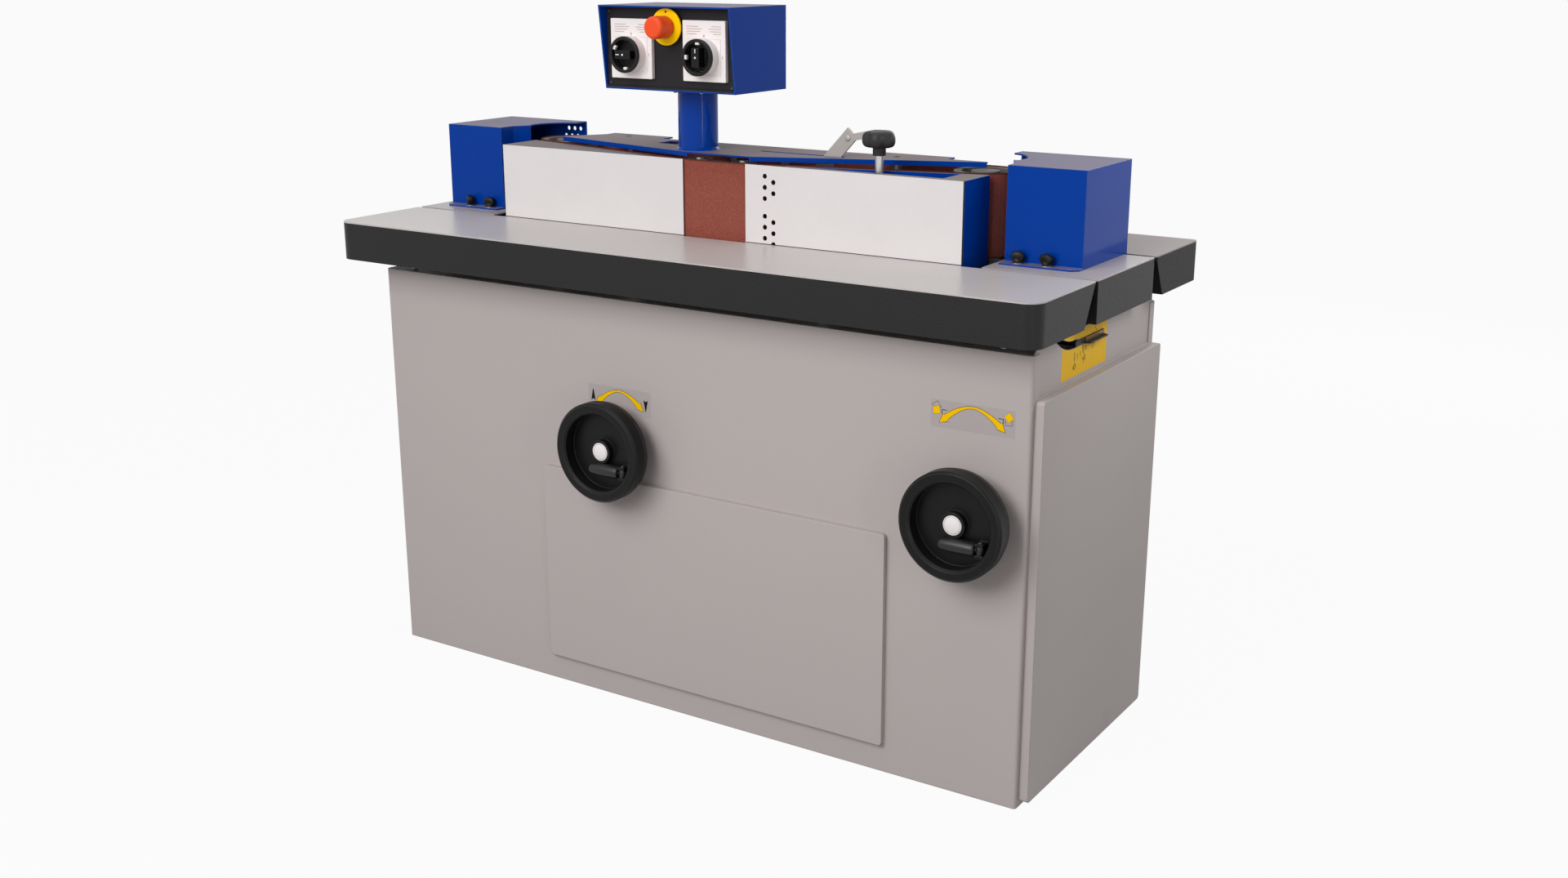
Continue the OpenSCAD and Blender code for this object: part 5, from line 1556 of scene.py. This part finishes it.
@dataclass
class ControlHead:
    """Control box on its post with switches and emergency stop."""

    frame_size: Point2 = (74.0, 66.0)
    frame_wall: Point2 = (1.2, 0.7)
    row_lengths: tuple[float, ...] = (26.0, 34.0, 30.0, 22.0)
    row_x: float = 38.0
    row_y: float = 53.0
    row_pitch: float = 4.4
    row_size: Point2 = (1.2, 0.08)
    numerals: tuple[tuple[str, float, float], ...] = (("0", 0.0, 36.5), ("1", 40.5, 0.0))
    rim: float = 5.0
    collar_r: float = 33.0
    pitch: float = 82.5
    tab_in: float = 8.4
    tab_deg: tuple[tuple[float, ...], ...] = ((150.0, 275.0), (88.0, 180.0))
    neck_shadow_washer: Profile = ((17.0, 0.0), (17.0, 0.15), (16.6, 0.25), (12.3, 0.25))
    rib_r: float = 19.7
    rib_in: float = 17.0
    ring_hole_z: float = 27.0
    fold: float = 3.4
    panel_screw: Point2 = (7.0, 2.2)
    panel_screw_in: Point2 = (7.0, 8.0)
    box_screw: Point2 = (9.0, 2.6)
    box_screw_in: Point2 = (18.0, 18.0)
    flange_bolt: Point2 = (7.0, 2.8)
    flange_bolt_r: float = 43.0
    flange: float = 5.0

    @property
    def spots(self) -> Point2:
        """Middles of the two switches along X."""
        return middle("switch_plates").x - self.pitch, middle("switch_plates").x + self.pitch

    @property
    def height(self) -> float:
        """Height of the switches' axes."""
        return middle("switch_collars").z

    def build(self) -> None:
        """Dresses the box and builds plates, switches and stop."""
        dress(BLUE_PAINT, "control_box")
        dress(POST_PAINT, "control_post")
        dress(PANEL_PAINT, "control_panel")
        dress(PALE_MOULD, "switch_plates")
        dress(BLACK_MOULD, "main_switch", "mode_switch")
        dress(STOP_RED, "stop_button")
        dress(STOP_YELLOW, "stop_ring")
        mid, split = middle("switch_collars"), low("switch_collars").y + self.rim
        collar = SwitchCollar("switch_collar", split, (mid.x, mid.z), self.pitch, self.collar_r - 0.6)
        dress(collar, "switch_collars")
        self.plates()
        self.collars()
        self.rotors()
        self.stop()
        self.skirt()
        self.fasteners()

    def plates(self) -> None:
        """Raised frames, printed rows and position numerals of the switch plates."""
        ridge, rows, numerals = Form(), Form(), Form()
        (w, h), (wall, proud), (thick, deep) = self.frame_size, self.frame_wall, self.row_size
        outer, inner = round_outline(w, h, 2), round_outline(w - 2 * wall, h - 2 * wall, 1.4)
        rings = [ring(outer, 0), ring(outer, proud), ring(inner, proud), ring(inner, 0)]
        for x in self.spots:
            at = facing((x, low("switch_plates").y, self.height), Axis.Y, -1)
            ridge.add(Form.skin(rings, bottom=False, top=False), at)
            for i, length in enumerate(self.row_lengths):
                y = self.row_y - i * self.row_pitch
                for start, end in ((-self.row_x, length - self.row_x), (self.row_x - length * 0.8, self.row_x)):
                    rows.add(Form.box((start, y, 0), (end, y + thick, deep)), at)
            for word, u, v in self.numerals:
                numerals.add(Form.text(word, 5.0, 0.1), at @ shift(u, v, 0))
        place("switch_plate_frames", ridge, PALE_MOULD, Body.UNIT)
        place("switch_plate_print", rows, PRINT_GREY, Body.UNIT)
        place("switch_numerals", numerals, SIGN_INK, Body.UNIT)

    def collars(self) -> None:
        """Pale lock tabs inside the collars and a lip round their fronts."""
        tabs, lips = Form(), Form()
        front, r = low("switch_collars").y, self.collar_r
        lip = Form.lathe([(r - 0.4, -0.2), (r - 1.6, 0.9), (r - 5.2, 0.9), (r - 5.9, -0.2)], 48)
        for x, angles in zip(self.spots, self.tab_deg):
            for angle in angles:
                u, v = polar(r - self.tab_in, math.radians(angle))
                at = facing((x + u, front + 1.0, self.height + v), Axis.Y, -1, angle - 90)
                tabs.add(Form.box((-4, -2.2, -5), (4, 3.4, 0.6), 0.6), at)
            lips.add(lip, facing((x, front, self.height), Axis.Y, -1))
        place("collar_tabs", tabs, PALE_MOULD, Body.UNIT)
        place("collar_lips", lips, BLACK_MOULD, Body.UNIT)

    def rotors(self) -> None:
        """Pale pointer marks on the finger bars."""
        for node, body, turn in (("main_switch", Body.MAIN, 90), ("mode_switch", Body.MODE, 0)):
            axis = middle(node)
            form = Form.lathe([(1.9, -0.1), (1.9, 0.25), (0, 0.4)], 20)
            form.add(Form.box((-0.9, 8, -0.1), (0.9, 15.5, 0.25), 0.1))
            at = facing((axis.x, low(node).y, axis.z), Axis.Y, -1, turn)
            place(f"{node}_mark", form.moved(at), CAP_WHITE, body)

    def stop(self) -> None:
        """A thin black washer round the stop's neck, for the black neck and a painted shadow between cap and ring;
        ribs round its button; and a black disc as painted shade in the ring's small hole.
        """
        axis, grip = middle("stop_ring"), low("stop_button").y + self.rib_in
        face = facing((axis.x, low("stop_ring").y, axis.z), Axis.Y, -1)
        # Black neck and painted shadow: a thin black washer between the cap and the ring.
        place("stop_neck_shadow_washer", Form.lathe(self.neck_shadow_washer).moved(face), BLACK_MOULD, Body.UNIT)
        ribs = Form()
        for a in around(24):
            u, v = polar(self.rib_r, a)
            at = facing((axis.x + u, grip, axis.z + v), Axis.Y, -1, math.degrees(a) - 90)
            ribs.add(Form.box((-0.9, -0.3, 0), (0.9, 0.7, 9), 0.3), at)
        place("stop_ribs", ribs, STOP_RED, Body.STOP)
        # Painted shade: a flat black disc stands for the dark inside of the ring's small hole.
        hole = Form.lathe([(2.2, 0.02), (0, 0.1)], 20).moved(face @ shift(0, self.ring_hole_z, 0))
        place("stop_ring_hole_shade", hole, SIGN_INK, Body.UNIT)

    def skirt(self) -> None:
        """Folded lower edge of the panel, behind the box's front rim."""
        lo, hi = low("control_panel"), high("control_panel")
        bottom, back, front = low("control_box").z, lo.y + 0.5, lo.y - self.fold
        profile = [(back, bottom), (back, lo.z + 5), (lo.y - 0.1, lo.z + 5), (front, lo.z + 2.5), (front, bottom)]
        form = Form.prism(profile, hi.x - lo.x).moved(along_x(lo.x))
        place("panel_fold", form, PANEL_PAINT, Body.UNIT)

    def fasteners(self) -> None:
        """Screws of the panel and the box's rear, and bolts of the post's flange."""
        heads = Form()
        for node, size, (dx, dz), sign in (
            ("control_panel", self.panel_screw, self.panel_screw_in, -1),
            ("control_box", self.box_screw, self.box_screw_in, 1),
        ):
            lo, hi = low(node), high(node)
            y = lo.y if sign < 0 else hi.y
            spots = [(x, y, z) for x in (lo.x + dx, hi.x - dx) for z in (lo.z + dz, hi.z - dz)]
            heads.add(screws(size, spots, Axis.Y, sign))
        place("control_screws", heads, DARK_SCREW, Body.UNIT)
        post, z = middle("control_post"), high("control_post").z - self.flange
        circle = (polar(self.flange_bolt_r, a) for a in around(4, 45))
        bolts = screws(self.flange_bolt, [(post.x + u, post.y + v, z) for u, v in circle], Axis.Z, -1)
        place("post_flange_bolts", bolts, ZINC, Body.UNIT)


@dataclass
class SandingUnit:
    """Belt, drums, fences, top plate, lever and clamp of the tilting unit."""

    top_screw: Point2 = (13.0, 1.4)
    post_spots: Profile = ((-336.0, 52.0), (295.0, 37.0))
    weld: Profile = ((41.5, 0.0), (40.6, 1.6), (38.9, 3.2), (38.0, 5.0))
    drum_race: Profile = (
        (18.0, 0.0), (17.4, 0.9), (14.0, 0.9), (13.6, 0.2), (9.0, 0.2), (8.6, 0.9), (5.0, 0.9), (4.0, 0.5),
        (4.0, 0.0), (0.0, 0.0),
    )
    roller_race: Profile = (
        (23.0, 0.0), (22.6, 0.8), (19.0, 0.8), (18.4, 0.2), (15.2, 0.2), (14.6, 0.7), (12.6, 0.7), (12.6, 0.0),
        (8.3, 0.0),
    )
    rivet: Profile = ((6.0, 0.0), (5.4, 1.2), (3.5, 2.0), (1.6, 2.3), (1.0, 1.7), (0.0, 1.7))
    rivet_out: float = 113.5
    lever_deg: float = 43.0
    knob_lobes: int = 5
    knob_turn: float = -76.0
    knob_h: float = 29.0
    knob: Profile = (
        (11.0, 0.0), (20.0, 0.2), (25.0, 1.6), (28.6, 4.6), (30.4, 9.0), (30.8, 14.0), (30.4, 19.0), (28.8, 23.4),
        (25.6, 26.6), (21.0, 28.4), (17.0, 29.0), (14.0, 28.2), (8.0, 27.8), (0.0, 27.8),
    )
    knob_neck: Profile = ((7.7, -14.0), (11.0, -14.0), (11.6, -13.2), (11.8, 0.4))
    stem_r: float = 7.6
    collar: Point3 = (19.0, 18.0, 6.0)

    def build(self) -> None:
        """Dresses the unit and adds its small parts."""
        dress(BELT_GRIT, "sanding_belt")
        dress(FENCE_SHEET, "left_fence", "right_fence")
        dress(BLUE_DUST_AND_REFLECTION, "top_plate", "left_fence_bracket", "right_fence_bracket")
        dress(FRAME_PAINT, "unit_plate", "left_tilt_bracket", "right_tilt_bracket", "tension_guides", "platen")
        dress(MOTOR_PAINT, "motor")
        dress(ALLOY, "drive_drum", "idler_drum", "left_roller", "right_roller", "idler_carriage")
        dress(TURNED, "unit_posts", "clamp_knob")
        dress(DRAWN, "tension_lever")
        dress(BLACK_MOULD, "tilt_pointer")
        self.top_trim()
        self.bearings()
        self.lever_rivet()
        self.clamp()

    def top_trim(self) -> None:
        """Screws of the top plate over its posts and the weld at the control post's foot."""
        z, post = high("top_plate").z, middle("control_post")
        heads = screws(self.top_screw, [(x, y, z) for x, y in self.post_spots], Axis.Z, 1)
        place("top_plate_screws", heads, DARK_SCREW, Body.UNIT)
        weld = Form.lathe(self.weld, 56).moved(shift(post.x, post.y, z))
        place("post_weld", weld, BLUE_PAINT, Body.UNIT)

    def bearings(self) -> None:
        """Bearing faces on the drive drum and the rollers."""
        for node, body, race, finish in (
            ("drive_drum", Body.DRIVE, self.drum_race, ALLOY),
            ("left_roller", Body.LEFT_ROLLER, self.roller_race, ZINC),
            ("right_roller", Body.RIGHT_ROLLER, self.roller_race, ZINC),
        ):
            at = middle(node)
            form = Form.lathe(race).moved(shift(at.x, at.y, high(node).z))
            place(f"{node}_bearing", form, finish, body)

    def lever_rivet(self) -> None:
        """Rivet at the bend of the tension lever."""
        pivot = anchor("tension_lever_swing")
        u, v = polar(self.rivet_out, math.radians(90 - self.lever_deg))
        at = facing((pivot.x + u, low("tension_lever").y, pivot.z + v), Axis.Y, -1)
        place("lever_rivet", Form.lathe(self.rivet, 28).moved(at), DRAWN, Body.LEVER)

    def lobes(self, angle: float) -> float:
        """Share of the clamp knob's radius at an angle."""
        wave = math.cos(self.knob_lobes * (angle - math.radians(self.knob_turn)))
        return 1.0 - 0.17 * ((1.0 - wave) / 2) ** 1.6

    def clamp(self) -> None:
        """Lobed moulded knob on its bright stem, in place of the plain solid."""
        axis, foot, top = anchor("clamp_knob_turn"), low("clamp_knob").z, high("clamp_knob").z
        knob = Form.lathe(self.knob, 80, self.lobes).add(Form.lathe(self.knob_neck, 36))
        knob = knob.moved(shift(axis.x, axis.y, top - self.knob_h))
        moulded = place("clamp_knob_moulded", knob, KNOB_MOULD_LIT, Body.CLAMP, 40)
        r, (wide, rise, thick) = self.stem_r, self.collar
        under, over = foot + rise, foot + rise + thick
        stem = [(0, foot), (r, foot), (r, under), (wide, under), (wide, over - 0.8), (wide - 0.8, over), (r, over)]
        stem += [(r, top - 42), (0, top - 41)]
        rod = Form.lathe(stem, 36).moved(shift(axis.x, axis.y, 0))
        place("clamp_stem", rod, TURNED, Body.CLAMP)
        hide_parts("clamp_knob")


@dataclass
class EndCovers:
    """Blue end covers with their wing knobs."""

    wing: Point2 = (12.4, 10.6)
    wing_z: float = 12.0
    wing_rings: Profile = ((6.4, 2.6), (5.2, 0.9), (2.6, 0.0), (-2.6, 0.0), (-5.2, 0.9), (-6.4, 2.6))
    knob_in: Point2 = (12.5, 66.5)
    knob_turn: tuple[float, ...] = (-38.0, 14.0, 8.0, -12.0)
    stud: Profile = ((3.0, 0.0), (9.5, 0.0), (9.5, 1.2), (4.0, 1.2), (4.0, 3.0), (0.0, 3.0))
    boss: Profile = ((0.0, 1.4), (7.2, 1.4), (8.0, 2.4), (7.4, 6.5), (6.2, 8.0), (0.0, 8.0))

    def build(self) -> None:
        """Dresses the covers and makes the wing knobs."""
        dress(BLUE_PAINT, "left_cover", "right_cover")
        lo, hi, y = low("cover_knobs"), high("cover_knobs"), middle("cover_knobs").y
        near, far = self.knob_in
        knob = Form.lathe(self.boss, 28).add(self.blade())
        knobs, studs = Form(), Form()
        for x, turn in zip((lo.x + near, lo.x + far, hi.x - far, hi.x - near), self.knob_turn):
            at = shift(x, y, lo.z) @ spin(turn)
            knobs.add(knob, at)
            studs.add(Form.lathe(self.stud, 28), at)
        piece = place("wing_knobs", knobs, BLACK_MOULD, Body.BASE, 45)
        place("wing_knob_studs", studs, ZINC, Body.BASE)
        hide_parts("cover_knobs")

    def blade(self) -> Form:
        """Thick rounded disc of a wing knob, flattened a little on top.

        Returns:
            The closed form, standing on the flange.
        """
        outline = []
        for a in around(28):
            flat = 1.0 - 0.1 * max(0.0, math.sin(a)) ** 3
            outline.append((self.wing[0] * math.cos(a), self.wing[1] * flat * math.sin(a)))
        rings = []
        for depth, shrink in self.wing_rings:
            rings.append([Vector((u, depth, self.wing_z + v)) for u, v in inset(outline, shrink)])
        return Form.skin(rings)


@dataclass
class Gear:
    """Lift and tilt gear inside the cabinet."""

    def build(self) -> None:
        """Dresses the gear."""
        dress(FRAME_PAINT, "lift_carrier", "lift_gearbox", "spindle_bearings", "tilt_shoes")
        dress(TURNED, "lift_columns")
        dress(LIFT_THREAD, "lift_screw")
        dress(BRONZE, "tilt_nut")


@dataclass
class Studio:
    """Floor, light and camera; the floor and the lamps are in metres."""

    eye: Point3 = (1809.8, -2699.1, 1424.4)
    yaw_deg: float = 32.767
    pitch_deg: float = 16.198
    lens: float = 38.86
    sensor: float = 36.0
    floor_r: float = 60.0
    floor_gap: float = 0.0005
    floor_share: float = 0.95
    floor_tone: float = 0.32
    sky: float = 0.32
    aim: Point3 = (0.0, 0.0, 0.75)
    lamps: tuple[tuple[str, Point3, Point2, float], ...] = (
        ("key", (-0.6, -4.0, 3.4), (2.6, 2.6), 124.0),
        ("fill", (0.4, -2.3, 1.5), (0.8, 0.8), 10.0),
        ("top", (0.2, -0.6, 4.2), (2.4, 2.4), 22.0),
        ("rear", (0.8, 4.0, 1.9), (2.2, 2.0), 60.0),
        ("side", (1.35, 0.1, 1.35), (0.4, 0.4), 2.8),
        ("strip", (2.7, -1.7, 0.85), (0.05, 1.5), 6.0),
    )

    def build(self) -> None:
        """Sets up the whole stage."""
        bpy.context.scene.view_settings.view_transform = "Standard"
        self.world()
        self.floor()
        self.light()
        self.camera()

    def world(self) -> None:
        """Pale surroundings that the lens, gloss and glass see as white."""
        world = bpy.data.worlds.new("studio")
        bpy.context.scene.world = world
        graph = Graph(world)
        level = graph.background_ray() * (1.0 - self.sky) + self.sky
        back = graph.out("ShaderNodeBackground", {}, {"Color": WHITE, "Strength": level})
        graph.node("ShaderNodeOutputWorld", {}, {"Surface": back})

    def floor(self) -> None:
        """Pale floor that keeps a soft shadow and fades into the background."""
        form = Form.lathe([(self.floor_r, 0), (0, 0)], 64).moved(shift(0, 0, CAD_BOX[0].z - self.floor_gap))
        mesh = bpy.data.meshes.new("floor")
        mesh.from_pydata(form.verts, [], form.faces)
        paint = bpy.data.materials.new("floor_white")
        graph = Graph(paint)
        grain = graph.noise(graph.place(), 900, 3)
        pale, dull = ((k * self.floor_tone,) * 3 + (1,) for k in (1.0, 0.96))
        tone = graph.mix(grain * 0.5, pale, dull)
        matte = graph.out("ShaderNodeBsdfPrincipled", {}, {"Base Color": tone, "Roughness": 0.9, "IOR": 1.05})
        glow = graph.out("ShaderNodeEmission", {}, {"Color": WHITE, "Strength": 1.0})
        share = graph.background_ray() * self.floor_share
        blend = graph.out("ShaderNodeMixShader", {}, {0: share, 1: matte, 2: glow})
        graph.node("ShaderNodeOutputMaterial", {}, {"Surface": blend})
        mesh.materials.append(paint)
        floor = bpy.data.objects.new("floor", mesh)
        bpy.context.scene.collection.objects.link(floor)

    def light(self) -> None:
        """Soft area lamps aimed at the machine."""
        for name, spot, size, power in self.lamps:
            lamp = bpy.data.lights.new(name, "AREA")
            lamp.shape = "RECTANGLE"
            lamp.size, lamp.size_y = size
            lamp.energy = power
            holder = bpy.data.objects.new(name, lamp)
            holder.location = spot
            holder.rotation_euler = (Vector(self.aim) - Vector(spot)).to_track_quat("-Z", "Y").to_euler()
            bpy.context.scene.collection.objects.link(holder)

    def camera(self) -> None:
        """Camera at the photograph's place and angle."""
        data = bpy.data.cameras.new("camera")
        data.sensor_width = self.sensor
        data.sensor_fit = "HORIZONTAL"
        data.lens = self.lens
        camera = bpy.data.objects.new("camera", data)
        camera.location = Vector(self.eye) * MM
        camera.rotation_euler = (math.radians(90 - self.pitch_deg), 0, math.radians(self.yaw_deg))
        bpy.context.scene.collection.objects.link(camera)
        bpy.context.scene.camera = camera


def main() -> None:
    """Builds every sub-assembly in order, then the stage."""
    logging.basicConfig(level=logging.INFO, format="%(name)s: %(message)s")
    Cabinet().build()
    Signs().build()
    Tables().build()
    Gear().build()
    Handwheel("lift_wheel", "lift_grip", "lift_shaft", Body.LIFT_DRIVE, Body.LIFT_GRIP, TURNED).build()
    Handwheel("tilt_wheel", "tilt_grip", "tilt_spindle", Body.TILT_DRIVE, Body.TILT_GRIP, TILT_THREAD).build()
    SandingUnit().build()
    EndCovers().build()
    ControlHead().build()
    Studio().build()


if __name__ == "__main__":
    main()
